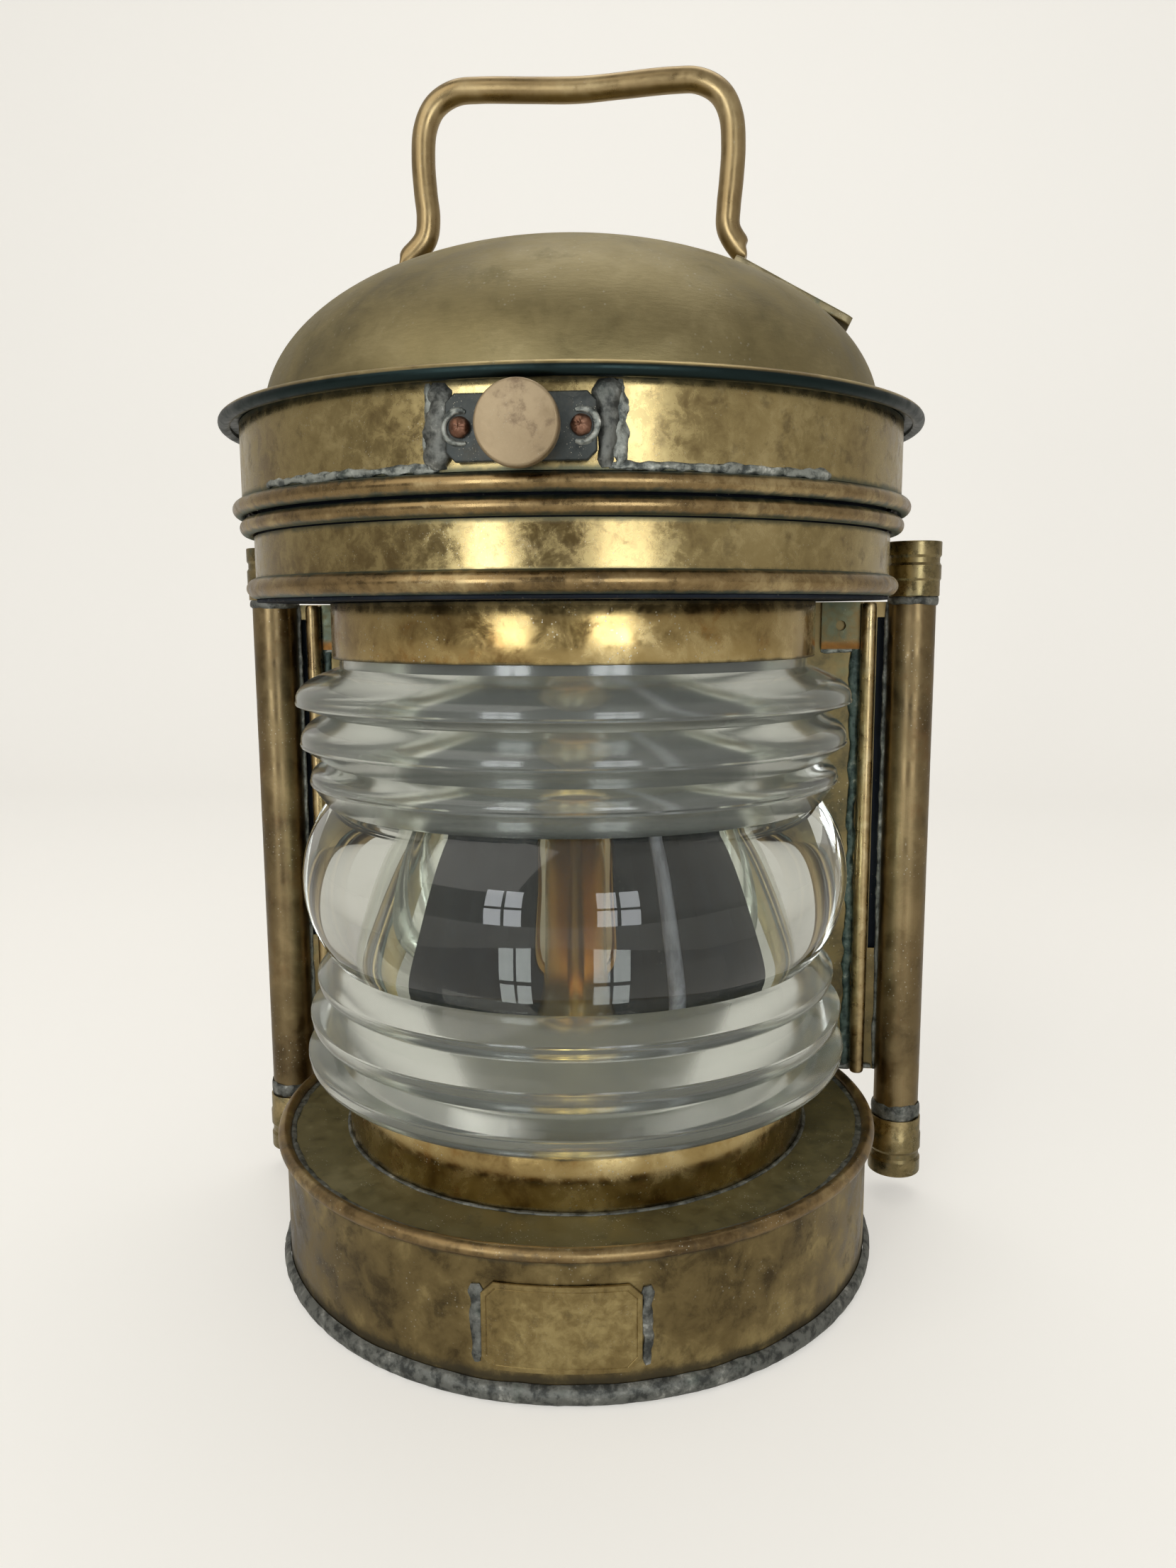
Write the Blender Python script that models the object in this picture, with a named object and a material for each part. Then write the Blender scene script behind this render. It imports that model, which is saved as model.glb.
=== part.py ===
"""Brass ship's masthead lantern with a ribbed drum lens and a hinged, domed hood.

Metres, +Z up. The origin is the centre of the foot, on the lens axis. The lens
looks along -Y, and the hood hinges at the back, on +Y.
"""
from math import acos, atan2, cos, pi, radians, sin, sqrt

import bmesh
import bpy
from mathutils import Vector

# Rings that share an axis share these steps, so that their facets line up
FULL_TURN = 2 * pi
RING_STEPS = 48
SMALL_STEPS = 16
MID_STEPS = 18
LENS_STEPS_EACH_SIDE = 15
SHARP_ANGLE = radians(35)
WELD_SHARE = 0.002

# Clearances and stock
GAP = 0.0003
BEAD_GAP = 0.0006
OVERRUN = 0.005
SHEET = 0.0012
WELD = WELD_SHARE * GAP

# Base, its radius set back from the head's
FLOOR_THICKNESS = 0.0015
DRUM_SETBACK = 0.0021
DRUM_HEIGHT = 0.0455
FOOT_BEAD_HEIGHT = 0.007
FOOT_BEAD_BULGE = 0.0024
RIM_WIRE_R = 0.0024
RIM_OVERHANG = 0.0007
DECK_SPIGOT = 0.008
PLATE_WIDTH = 0.050
PLATE_HEIGHT = 0.029
PLATE_THICKNESS = 0.0008
PLATE_CORNER = 0.004
PLATE_TURN = radians(4)
PLATE_BENDS = 6

# Lens and the two collars that hold it; the whole lantern is sized round the lens
BELLY_R = 0.102
LENS_HEIGHT = 0.165
LENS_WALL = 0.0115
BELLY_HALF_HEIGHT = 0.028
GROOVE_DEPTH = 0.010
LENS_NECK_DEPTH = 0.0159
BELLY_STEPS = 7
RIB_TIP_R_SHARES = (0.961, 0.990, 1.003)
RIB_TIP_HEIGHT_SHARES = (0.440, 0.606, 0.785)
RIB_ROOT_HEIGHT_SHARES = (0.525, 0.732, 0.935)
RIB_CREST_SHARE = 0.55
LENS_DEPTH_IN_LOWER_COLLAR = 0.0055
LENS_DEPTH_IN_UPPER_COLLAR = 0.0021
SEAL_THICKNESS = 0.002
LEDGE_REACH = 0.0055
LOWER_COLLAR_HEIGHT = 0.0187
UPPER_COLLAR_STEP = 0.001
UPPER_COLLAR_HEIGHT = 0.0194

# Head
HEAD_OVERHANG = 0.0116
HEAD_BAND_HEIGHT = 0.0206
HEAD_OPENING_STEP = 0.0015
LOWER_BEAD_HEIGHT = 0.007
LOWER_BEAD_BULGE = 0.003
HEAD_WIRE_R = 0.00275
HEAD_WIRE_OVERHANG = 0.00185
NECK_LAP = 0.006
NECK_RISE = 0.030

# Hood, each piece stepped out or in from the head's band
HOOD_STEP = 0.0034
HOOD_BAND_HEIGHT = 0.0252
HOOD_WIRE_R = 0.00275
HOOD_WIRE_OVERHANG = 0.00055
BRIM_OVERHANG = 0.0068
BRIM_SLOPE_SHARE = 0.12
BRIM_LIP_R = 0.0022
BRIM_LIP_TURN_SHARES = (-0.84, -0.42, 0, 0.42, 0.84)
DOME_INSET = 0.0085
DOME_HEIGHT = 0.0595
DOME_STEPS = 8
DOME_LAP = 0.004

# Latch: a screw through a riveted plate, with its tip in the neck's open slot
LATCH_HEIGHT_SHARE = 0.44
LATCH_PLATE_WIDTH = 0.041
LATCH_PLATE_HEIGHT = 0.018
LATCH_PLATE_THICKNESS = 0.002
LATCH_PLATE_CORNER = 0.0025
LATCH_RIVET_INSET = 0.004
LATCH_RIVET_R = 0.003
STUD_R = 0.003
STUD_REACH = 0.002
SLOT_CLEARANCE = 0.0005
KNOB_R = 0.0114
KNOB_FACE_THICKNESS = 0.0052
KNOB_NECK_R = 0.0065
KNOB_NECK_LENGTH = 0.001
KNOB_STANDOFF = 0.002
KNOB_BORE_PAST_NECK = 0.003
KNOB_EDGE = 0.0009
NUT_WALL = 0.003
NUT_THICKNESS = 0.0016
NUT_SEAT = 0.0007

# Handle and its two riveted straps
HANDLE_R = 0.00425
HANDLE_INSET = 0.0025
HANDLE_RISE = 0.057
HANDLE_LEAN = 0.002
HANDLE_LEAN_SHARE = 5.0
HANDLE_SMOOTH_STEPS = 2
HANDLE_FOOT_REACH = 0.002
HANDLE_FOOT_RISE = 0.001
HANDLE_SIDE_SHARES = (
    (1.00, 0.130), (0.985, 0.260),
    (1.000, 0.420), (1.010, 0.600), (0.995, 0.780), (0.925, 0.915), (0.790, 0.990),
    (0.620, 1.000), (0.300, 0.985),
)
HANDLE_BAR_MIDDLE_SHARE = 0.972
STRAP_WIDTH = 0.020
STRAP_THICKNESS = 0.003
STRAP_INSET = 0.0115
STRAP_REACH = 0.040
STRAP_RIVET_PLACE_SHARES = (0.4625, 0.8125)
RIVET_HEAD_R = 0.0031
RIVET_HEAD_SHARES = ((1.0, 0.0), (0.94, 0.42), (0.62, 0.72))
RIVET_CROWN_SHARE = 0.8
RIVET_SHANK_SHARE = 0.55

# Hinge at the back
HINGE_WIDTH = 0.034
HINGE_MIDDLE = 0.011
HINGE_PIN_R = 0.00175
HINGE_KNUCKLE_R = 0.0032
HINGE_AIR = 0.0007
HINGE_DROP = 0.0018
HINGE_PLATE_THICKNESS = 0.0015
HINGE_LOWER_LENGTH = 0.024
HINGE_UPPER_LENGTH = 0.027
HINGE_SLACK = 0.0005
PIN_HEAD_R = 0.0026
PIN_HEAD_LENGTH = 0.001
KNUCKLE_STEPS = 12

# Side plates and the guide tubes that they carry
LENS_END_AIR = 0.0006
TUBE_R = 0.009
TUBE_WALL = 0.0014
TUBE_AIR = 0.0042
TUBE_FORWARD = 0.0017
TUBE_BOTTOM = 0.0105
TUBE_TOP_ABOVE_BAND = 0.0006
CAP_WALL = 0.0015
CAP_GROOVE = 0.0006
TOP_CAP_HEIGHT = 0.021
BOTTOM_CAP_HEIGHT = 0.024
CAP_RING_SHARES = (0.0, 0.28, 0.62, 0.73)
SLOT_WIDTH = 0.003
SLOT_OFFSET = 0.0026
SLOT_FOOT = 0.052
SLOT_HEAD = 0.006
POST_R = 0.0029
POST_STANDOFF = 0.0077
POST_DEPTH = 0.0032
POST_STEPS = 8
LUG_WIDTH = 0.015
LUG_HEIGHT = 0.0185
LUG_THICKNESS = 0.0015
LUG_HOLE_R = 0.002

# Electric lamp inside
LAMP_FLANGE_R = 0.024
LAMP_FLANGE_THICKNESS = 0.003
HOLDER_R = 0.018
HOLDER_WALL = 0.0015
HOLDER_HEIGHT = 0.065
INSERT_DROP = 0.001
SOCKET_DEPTH = 0.026
SOCKET_CLEARANCE = 0.0007
BULB_CAP_R = 0.0132
BULB_CAP_HEIGHT = 0.025
BULB_CUP_DEPTH = 0.012
BULB_CUP_WALL = 0.0016
BULB_CONTACT_R = 0.0045
BULB_CONTACT_HEIGHT = 0.004
BULB_R = 0.0175
BULB_LENGTH = 0.088
BULB_GLASS = 0.0009
BULB_SHARES = (
    (0.00, 0.65), (0.14, 0.65), (0.22, 0.78), (0.32, 0.93), (0.42, 1.00), (0.56, 0.97),
    (0.70, 0.84), (0.83, 0.62), (0.93, 0.36), (0.985, 0.14),
)
CABLE_R = 0.0035
CABLE_STRAIGHT = 0.0021
CABLE_BEND_STEPS = 6
CABLE_TURN = radians(130)
CABLE_HOLDER_HEIGHT = 0.009
GLAND_BELOW_LENS_TOP = 0.0235
GLAND_WALL = 0.0025
GLAND_FLANGE_STEP = 0.003
GLAND_FLANGE_THICKNESS = 0.008
GLAND_REACH = 0.0115
GLAND_NUT_WALL = 0.0025
GLAND_NUT_THICKNESS = 0.004
GLAND_NUT_SEAT = 0.0008

# Radii, each from the piece that it fits or follows
GROOVE_R = BELLY_R - GROOVE_DEPTH
LENS_BORE_R = GROOVE_R - LENS_WALL
LENS_NECK_R = BELLY_R - LENS_NECK_DEPTH
LOWER_COLLAR_R = LENS_NECK_R + GAP + SHEET
UPPER_COLLAR_R = LOWER_COLLAR_R + UPPER_COLLAR_STEP
HEAD_OPENING_R = LENS_BORE_R + HEAD_OPENING_STEP
HEAD_BAND_R = BELLY_R + HEAD_OVERHANG
DRUM_R = HEAD_BAND_R - DRUM_SETBACK
HOOD_BAND_R = HEAD_BAND_R + HOOD_STEP
BRIM_R = HOOD_BAND_R + BRIM_OVERHANG
DOME_R = HOOD_BAND_R - DOME_INSET
STRAP_OUTER_R = DOME_R - STRAP_INSET
STRAP_INNER_R = STRAP_OUTER_R - STRAP_REACH
STRAP_MIDDLE_R = (STRAP_INNER_R + STRAP_OUTER_R) / 2
STRAP_RIVET_PLACES = [STRAP_INNER_R + share * STRAP_REACH for share in STRAP_RIVET_PLACE_SHARES]
HANDLE_FOOT_PLACES = (STRAP_INNER_R + HANDLE_FOOT_REACH, STRAP_INNER_R - HANDLE_FOOT_RISE)
HANDLE_HALF_SPAN = STRAP_INNER_R - HANDLE_INSET
CAP_R = TUBE_R + CAP_WALL
GLAND_R = CABLE_R + GLAND_WALL
GLAND_FLANGE_R = GLAND_R + GLAND_FLANGE_STEP
GLAND_NUT_R = GLAND_R + GLAND_NUT_WALL
NUT_R = STUD_R + NUT_WALL

# Heights of the stack, each from the piece below it
DRUM_BASE = FLOOR_THICKNESS + GAP
DRUM_TOP = DRUM_BASE + DRUM_HEIGHT
RIM_HEIGHT = DRUM_TOP + GAP + RIM_WIRE_R
RIM_R = DRUM_R + RIM_OVERHANG
DECK_TOP = RIM_HEIGHT
LOWER_COLLAR_BASE = DECK_TOP + GAP
LOWER_COLLAR_TOP = LOWER_COLLAR_BASE + LOWER_COLLAR_HEIGHT
LENS_BASE = LOWER_COLLAR_TOP - LENS_DEPTH_IN_LOWER_COLLAR
LENS_TOP = LENS_BASE + LENS_HEIGHT
UPPER_COLLAR_BASE = LENS_TOP - LENS_DEPTH_IN_UPPER_COLLAR
UPPER_COLLAR_TOP = UPPER_COLLAR_BASE + UPPER_COLLAR_HEIGHT
HEAD_DECK_BASE = UPPER_COLLAR_TOP + GAP
HEAD_DECK_TOP = HEAD_DECK_BASE + SHEET
HEAD_BAND_BASE = HEAD_DECK_TOP + GAP
HEAD_BAND_TOP = HEAD_BAND_BASE + HEAD_BAND_HEIGHT
HEAD_WIRE_HEIGHT = HEAD_BAND_TOP + GAP + HEAD_WIRE_R
HEAD_WIRE_CENTRE_R = HEAD_BAND_R + HEAD_WIRE_OVERHANG
HOOD_WIRE_HEIGHT = HEAD_WIRE_HEIGHT + HEAD_WIRE_R + BEAD_GAP + HOOD_WIRE_R
HOOD_WIRE_CENTRE_R = HOOD_BAND_R + HOOD_WIRE_OVERHANG
HOOD_BAND_BASE = HOOD_WIRE_HEIGHT + HOOD_WIRE_R + GAP
HOOD_BAND_TOP = HOOD_BAND_BASE + HOOD_BAND_HEIGHT
BRIM_BASE = HOOD_BAND_TOP + GAP
DOME_BASE = BRIM_BASE + SHEET + BRIM_SLOPE_SHARE * (HOOD_BAND_R - DOME_R) + GAP
NECK_R = HEAD_BAND_R - SHEET - GAP
NECK_BASE = HEAD_BAND_TOP - NECK_LAP
NECK_TOP = HEAD_BAND_TOP + NECK_RISE
LENS_END_TURN = LENS_STEPS_EACH_SIDE * FULL_TURN / RING_STEPS
LATCH_Z = HOOD_BAND_BASE + LATCH_HEIGHT_SHARE * HOOD_BAND_HEIGHT

# Places of the columns
RIB_R = BELLY_R * max(RIB_TIP_R_SHARES)
SIDE_PLATE_Y = -RIB_R * cos(LENS_END_TURN) + LENS_END_AIR
TUBE_Y = SIDE_PLATE_Y - TUBE_FORWARD
BEAD_REACH = max(HOOD_WIRE_CENTRE_R + HOOD_WIRE_R, HEAD_WIRE_CENTRE_R + HEAD_WIRE_R, RIM_R + RIM_WIRE_R)
TUBE_X = sqrt((BEAD_REACH + CAP_R + TUBE_AIR) ** 2 - TUBE_Y ** 2)
TUBE_TOP = HEAD_BAND_TOP + TUBE_TOP_ABOVE_BAND
SIDE_PLATE_BASE = RIM_HEIGHT + RIM_WIRE_R + GAP
SIDE_PLATE_TOP = HEAD_DECK_BASE - GAP
SIDE_PLATE_INNER = sqrt((max(LOWER_COLLAR_R, UPPER_COLLAR_R) + GAP) ** 2 - SIDE_PLATE_Y ** 2)
SIDE_PLATE_OUTER = TUBE_X - TUBE_R - GAP
POST_X = TUBE_X - TUBE_R - POST_STANDOFF

# Hinge axis
HINGE_Y = BEAD_REACH + HINGE_AIR + HINGE_KNUCKLE_R
HINGE_Z = HOOD_WIRE_HEIGHT - HINGE_DROP

BRASS = (0.42, 0.31, 0.13, 1.0)
DARK_BRASS = (0.22, 0.18, 0.10, 1.0)
DULL_BRASS = (0.30, 0.25, 0.14, 1.0)
BEAD_BRASS = (0.33, 0.22, 0.11, 1.0)
LEAD = (0.17, 0.19, 0.21, 1.0)
SLATE = (0.07, 0.09, 0.10, 1.0)
COPPER = (0.25, 0.12, 0.08, 1.0)
KNOB_BRASS = (0.45, 0.32, 0.21, 1.0)
GLASS = (0.86, 0.90, 0.87, 1.0)
RUBBER = (0.03, 0.03, 0.03, 1.0)
PORCELAIN = (0.80, 0.78, 0.72, 1.0)
CABLE_GREY = (0.20, 0.20, 0.24, 1.0)


def clear_scene():
    for thing in list(bpy.data.objects):
        bpy.data.objects.remove(thing, do_unlink=True)


def look(name, colour, roughness, metallic, alpha=1.0):
    """Give a plain material with a Principled shader."""
    material = bpy.data.materials.new(name)
    material.use_nodes = True
    shader = material.node_tree.nodes["Principled BSDF"]
    shader.inputs["Base Color"].default_value = colour
    shader.inputs["Roughness"].default_value = roughness
    shader.inputs["Metallic"].default_value = metallic
    shader.inputs["Alpha"].default_value = alpha
    return material


def place(name, shape, parent, location=(0, 0, 0), rotation=(0, 0, 0)):
    """Turn a bmesh into a smooth-shaded object under its parent."""
    bmesh.ops.recalc_face_normals(shape, faces=shape.faces)
    mesh = bpy.data.meshes.new(name)
    shape.to_mesh(mesh)
    shape.free()
    mesh.shade_smooth()
    mesh.set_sharp_from_angle(angle=SHARP_ANGLE)
    piece = bpy.data.objects.new(name, mesh)
    bpy.context.scene.collection.objects.link(piece)
    piece.rotation_euler = rotation
    piece.location = location
    if parent is not None:
        piece.parent = parent
        piece.location = Vector(location) - parent.matrix_world.translation
    return piece


def turned_shape(outline, first=0.0, sweep=FULL_TURN, steps=RING_STEPS):
    """Spin a closed outline of (radius, height) points about Z, from the front round."""
    shape = bmesh.new()
    corners = [shape.verts.new((r * sin(first), -r * cos(first), z)) for r, z in outline]
    face = shape.faces.new(corners)
    whole = sweep >= FULL_TURN
    section = list(face.verts) + list(face.edges)
    if whole:
        bmesh.ops.delete(shape, geom=[face], context="FACES_ONLY")
    else:
        section.append(face)
    bmesh.ops.spin(shape, geom=section, axis=(0, 0, 1), cent=(0, 0, 0), angle=sweep, steps=steps)
    bmesh.ops.remove_doubles(shape, verts=shape.verts, dist=WELD)
    return shape


def prism_shape(outline, along, start, end):
    """Extrude a closed outline in the plane across one axis, from start to end."""
    order = {"X": (2, 0, 1), "Y": (0, 2, 1), "Z": (0, 1, 2)}[along]
    shape = bmesh.new()
    corners = []
    for a, b in outline:
        flat = (a, b, start)
        corners.append(shape.verts.new([flat[i] for i in order]))
    face = shape.faces.new(corners)
    grown = bmesh.ops.extrude_face_region(shape, geom=[face])
    ends = [item for item in grown["geom"] if isinstance(item, bmesh.types.BMVert)]
    step = (0, 0, end - start)
    bmesh.ops.translate(shape, verts=ends, vec=[step[i] for i in order])
    return shape


def empty(name, location=(0, 0, 0), parent=None):
    frame = bpy.data.objects.new(name, None)
    bpy.context.scene.collection.objects.link(frame)
    frame.location = location
    if parent is not None:
        frame.parent = parent
        frame.location = Vector(location) - parent.matrix_world.translation
    bpy.context.view_layer.update()
    return frame


def cut(piece, cutter):
    """Take a hidden cutter out of a piece."""
    cutter.hide_render = True
    cutter.display_type = "WIRE"
    tool = piece.modifiers.new("cut_" + cutter.name, "BOOLEAN")
    tool.operation = "DIFFERENCE"
    tool.object = cutter
    tool.solver = "EXACT"


def ring_outline(outer, inner, height):
    return [(inner, 0), (outer, 0), (outer, height), (inner, height)]


def wire_outline(centre_r, wire_r, corners=6):
    """Section of a round wire bead, resting on its middle height."""
    points = []
    for i in range(corners):
        turn = FULL_TURN * (i + 0.5) / corners
        points.append((centre_r + wire_r * cos(turn), wire_r * sin(turn)))
    return points


def half_round_outline(inner, bulge, height):
    """Section of a bead that bulges out of a wall."""
    shares = ((0.0, 0.0), (0.75, 0.05), (1.0, 0.5), (0.75, 0.95), (0.0, 1.0))
    return [(inner + bulge * out, height * up) for out, up in shares]


def collar_outline(outer, height, ledge_top):
    """Section of a collar with an inner ledge whose upper face is at ledge_top."""
    inner = outer - SHEET
    reach = inner - LEDGE_REACH
    ledge_base = ledge_top - SHEET
    return [
        (outer, 0), (outer, height), (inner, height), (inner, ledge_top),
        (reach, ledge_top), (reach, ledge_base), (inner, ledge_base), (inner, 0),
    ]


def lens_half_outline():
    """Outer points of the lens above its middle, from the neck's top down to the belly."""
    half = LENS_HEIGHT / 2
    points = [(LENS_NECK_R, half), (LENS_NECK_R, half * RIB_ROOT_HEIGHT_SHARES[-1])]
    roots = list(RIB_ROOT_HEIGHT_SHARES)
    for i in reversed(range(len(roots))):
        root_r = LENS_NECK_R if i == len(roots) - 1 else GROOVE_R
        tip_r = BELLY_R * RIB_TIP_R_SHARES[i]
        tip_z = half * RIB_TIP_HEIGHT_SHARES[i]
        crest_r = root_r + (tip_r - root_r) * (1 + RIB_CREST_SHARE) / 2
        crest_z = tip_z + (half * roots[i] - tip_z) * RIB_CREST_SHARE
        points.append((crest_r, crest_z))
        points.append((tip_r, tip_z))
        points.append((GROOVE_R, half * roots[i - 1] if i else BELLY_HALF_HEIGHT))
    return points


def belly_points():
    """Points of the belly's arc between the two grooves that bound it."""
    depth = BELLY_R - GROOVE_R
    arc_r = (BELLY_HALF_HEIGHT ** 2 + depth ** 2) / (2 * depth)
    reach = atan2(BELLY_HALF_HEIGHT, arc_r - depth)
    points = []
    for i in range(1, BELLY_STEPS):
        turn = reach * (1 - 2 * i / BELLY_STEPS)
        points.append((BELLY_R - arc_r + arc_r * cos(turn), arc_r * sin(turn)))
    return points


def lens_outline():
    upper = lens_half_outline()
    lower = [(r, -z) for r, z in reversed(upper)]
    half = LENS_HEIGHT / 2
    return upper + belly_points() + lower + [(LENS_BORE_R, -half), (LENS_BORE_R, half)]


def dome_section(turn, wall=0.0):
    """Reach and height of the dome's elliptic section at an angle, inside by a wall."""
    return (DOME_R - wall) * cos(turn), (DOME_HEIGHT - wall) * sin(turn)


def strap_point(reach, proud=0.0):
    """Point at a reach along the straight strap, whose underside touches the dome in its middle."""
    turn = acos(STRAP_MIDDLE_R / DOME_R)
    touch, height = dome_section(turn)
    normal = Vector((cos(turn) / DOME_R, 0, sin(turn) / DOME_HEIGHT)).normalized()
    along = Vector((normal.z, 0, -normal.x))
    return Vector((touch, 0, height)) + along * ((reach - touch) / along.x) + normal * (GAP + proud), normal


def build_base(root, looks):
    floor_plate = ((0, 0), (DRUM_R, 0), (DRUM_R, FLOOR_THICKNESS), (0, FLOOR_THICKNESS))
    put = place("base_floor", turned_shape(floor_plate), root)
    put.data.materials.append(looks["dark_brass"])
    shape = turned_shape(ring_outline(DRUM_R, DRUM_R - SHEET, DRUM_HEIGHT))
    drum = place("base_drum", shape, root, (0, 0, DRUM_BASE))
    drum.data.materials.append(looks["dark_brass"])
    foot = half_round_outline(DRUM_R + GAP, FOOT_BEAD_BULGE, FOOT_BEAD_HEIGHT)
    put = place("base_foot_bead", turned_shape(foot), root)
    put.data.materials.append(looks["lead"])
    put = place("base_rim_bead", turned_shape(wire_outline(RIM_R, RIM_WIRE_R)), root, (0, 0, RIM_HEIGHT))
    put.data.materials.append(looks["bead_brass"])
    build_deck(root, looks)
    build_name_plate(root, looks)


def build_deck(root, looks):
    """Lid of the base, with a spigot that sits inside the drum."""
    edge = min(DRUM_R - SHEET, RIM_R - RIM_WIRE_R) - GAP
    lid = [
        (0, -SHEET), (edge - SHEET, -SHEET), (edge - SHEET, -DECK_SPIGOT),
        (edge, -DECK_SPIGOT), (edge, 0), (0, 0),
    ]
    deck = place("base_deck", turned_shape(lid), root, (0, 0, DECK_TOP))
    deck.data.materials.append(looks["dark_brass"])


def build_name_plate(root, looks):
    """Bare plate with clipped corners, bent round the drum."""
    half = PLATE_WIDTH / 2
    top = PLATE_HEIGHT
    outline = [
        (-half + PLATE_CORNER, 0), (half - PLATE_CORNER, 0), (half, PLATE_CORNER),
        (half, top - PLATE_CORNER), (half - PLATE_CORNER, top), (-half + PLATE_CORNER, top),
        (-half, top - PLATE_CORNER), (-half, PLATE_CORNER),
    ]
    shape = prism_shape(outline, "Y", -PLATE_THICKNESS, 0)
    for i in range(1, PLATE_BENDS):
        middle = half * (2 * i / PLATE_BENDS - 1)
        everything = list(shape.verts) + list(shape.edges) + list(shape.faces)
        bmesh.ops.bisect_plane(shape, geom=everything, plane_co=(middle, 0, 0), plane_no=(1, 0, 0))
    for corner in shape.verts:
        turn = corner.co.x / DRUM_R
        reach = DRUM_R + GAP - corner.co.y
        corner.co.x = reach * sin(turn)
        corner.co.y = -reach * cos(turn)
    lift = FOOT_BEAD_HEIGHT + (DRUM_TOP - FOOT_BEAD_HEIGHT - PLATE_HEIGHT) / 3
    plate = place("name_plate", shape, root, (0, 0, lift), (0, 0, PLATE_TURN))
    plate.data.materials.append(looks["brass"])


def build_lens(root, looks):
    ledge = LENS_BASE - SEAL_THICKNESS - 2 * GAP - LOWER_COLLAR_BASE
    shape = turned_shape(collar_outline(LOWER_COLLAR_R, LOWER_COLLAR_HEIGHT, ledge))
    put = place("lower_collar", shape, root, (0, 0, LOWER_COLLAR_BASE))
    put.data.materials.append(looks["brass"])

    ledge_drop = LENS_TOP + SEAL_THICKNESS + 2 * GAP - UPPER_COLLAR_BASE
    shape = turned_shape(collar_outline(UPPER_COLLAR_R, UPPER_COLLAR_HEIGHT, ledge_drop + SHEET))
    put = place("upper_collar", shape, root, (0, 0, UPPER_COLLAR_BASE))
    put.data.materials.append(looks["brass"])

    seal_inner = LENS_NECK_R - LEDGE_REACH + GAP
    seats = (("lower_lens_seal", LENS_BASE - GAP - SEAL_THICKNESS), ("upper_lens_seal", LENS_TOP + GAP))
    for name, height in seats:
        outline = ring_outline(LENS_NECK_R, seal_inner, SEAL_THICKNESS)
        shape = turned_shape(outline, steps=RING_STEPS // 2)
        put = place(name, shape, root, (0, 0, height))
        put.data.materials.append(looks["rubber"])

    steps = 2 * LENS_STEPS_EACH_SIDE
    shape = turned_shape(lens_outline(), -LENS_END_TURN, 2 * LENS_END_TURN, steps)
    lens = place("lens", shape, root, (0, 0, LENS_BASE + LENS_HEIGHT / 2))
    lens.data.materials.append(looks["glass"])


def build_back_shell(root, looks):
    """Blackened brass shell that closes the lamp chamber behind the lens."""
    slack = 2 * GAP / LENS_NECK_R
    steps = RING_STEPS - 2 * LENS_STEPS_EACH_SIDE
    sweep = FULL_TURN - 2 * LENS_END_TURN - 2 * slack
    outline = ring_outline(LENS_NECK_R, LENS_NECK_R - SHEET, LENS_HEIGHT)
    shape = turned_shape(outline, LENS_END_TURN + slack, sweep, steps)
    shell = place("back_shell", shape, root, (0, 0, LENS_BASE))
    shell.data.materials.append(looks["dark_brass"])
    gland_z = LENS_TOP - GLAND_BELOW_LENS_TOP
    hole = [(0, 0), (GLAND_R + GAP, 0), (GLAND_R + GAP, 2 * OVERRUN), (0, 2 * OVERRUN)]
    start = radial(CABLE_TURN, LENS_NECK_R - SHEET / 2 - OVERRUN, gland_z)
    cutter = place("gland_hole", turned_shape(hole, steps=SMALL_STEPS), root, start, outward(CABLE_TURN))
    cut(shell, cutter)


def radial(turn, reach, height):
    """Point at a reach from the lens axis, turned from the front towards +X."""
    return (reach * sin(turn), -reach * cos(turn), height)


def outward(turn):
    """Rotation that points a piece's own Z axis away from the lens axis."""
    return (0, pi / 2, turn - pi / 2)


def build_head(root, looks):
    shape = turned_shape(ring_outline(HEAD_BAND_R, HEAD_OPENING_R, SHEET))
    put = place("head_deck", shape, root, (0, 0, HEAD_DECK_BASE))
    put.data.materials.append(looks["dark_brass"])
    shape = turned_shape(ring_outline(HEAD_BAND_R, HEAD_BAND_R - SHEET, HEAD_BAND_HEIGHT))
    put = place("head_band", shape, root, (0, 0, HEAD_BAND_BASE))
    put.data.materials.append(looks["brass"])
    shape = turned_shape(half_round_outline(HEAD_BAND_R + GAP, LOWER_BEAD_BULGE, LOWER_BEAD_HEIGHT))
    put = place("head_lower_bead", shape, root, (0, 0, HEAD_DECK_TOP))
    put.data.materials.append(looks["bead_brass"])
    shape = turned_shape(wire_outline(HEAD_WIRE_CENTRE_R, HEAD_WIRE_R))
    put = place("head_upper_bead", shape, root, (0, 0, HEAD_WIRE_HEIGHT))
    put.data.materials.append(looks["bead_brass"])
    build_neck(root, looks)


def build_neck(root, looks):
    """Inner neck that the hood closes over, with an open slot for the latch stud."""
    height = NECK_TOP - NECK_BASE
    shape = turned_shape(ring_outline(NECK_R, NECK_R - SHEET, height))
    neck = place("inner_neck", shape, root, (0, 0, NECK_BASE))
    neck.data.materials.append(looks["dark_brass"])
    half = STUD_R + SLOT_CLEARANCE
    base = LATCH_Z - half
    outline = [(-half, base), (half, base), (half, NECK_TOP + OVERRUN), (-half, NECK_TOP + OVERRUN)]
    shape = prism_shape(outline, "Y", -NECK_R - OVERRUN, -NECK_R + OVERRUN)
    cut(neck, place("stud_slot", shape, root))


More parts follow.
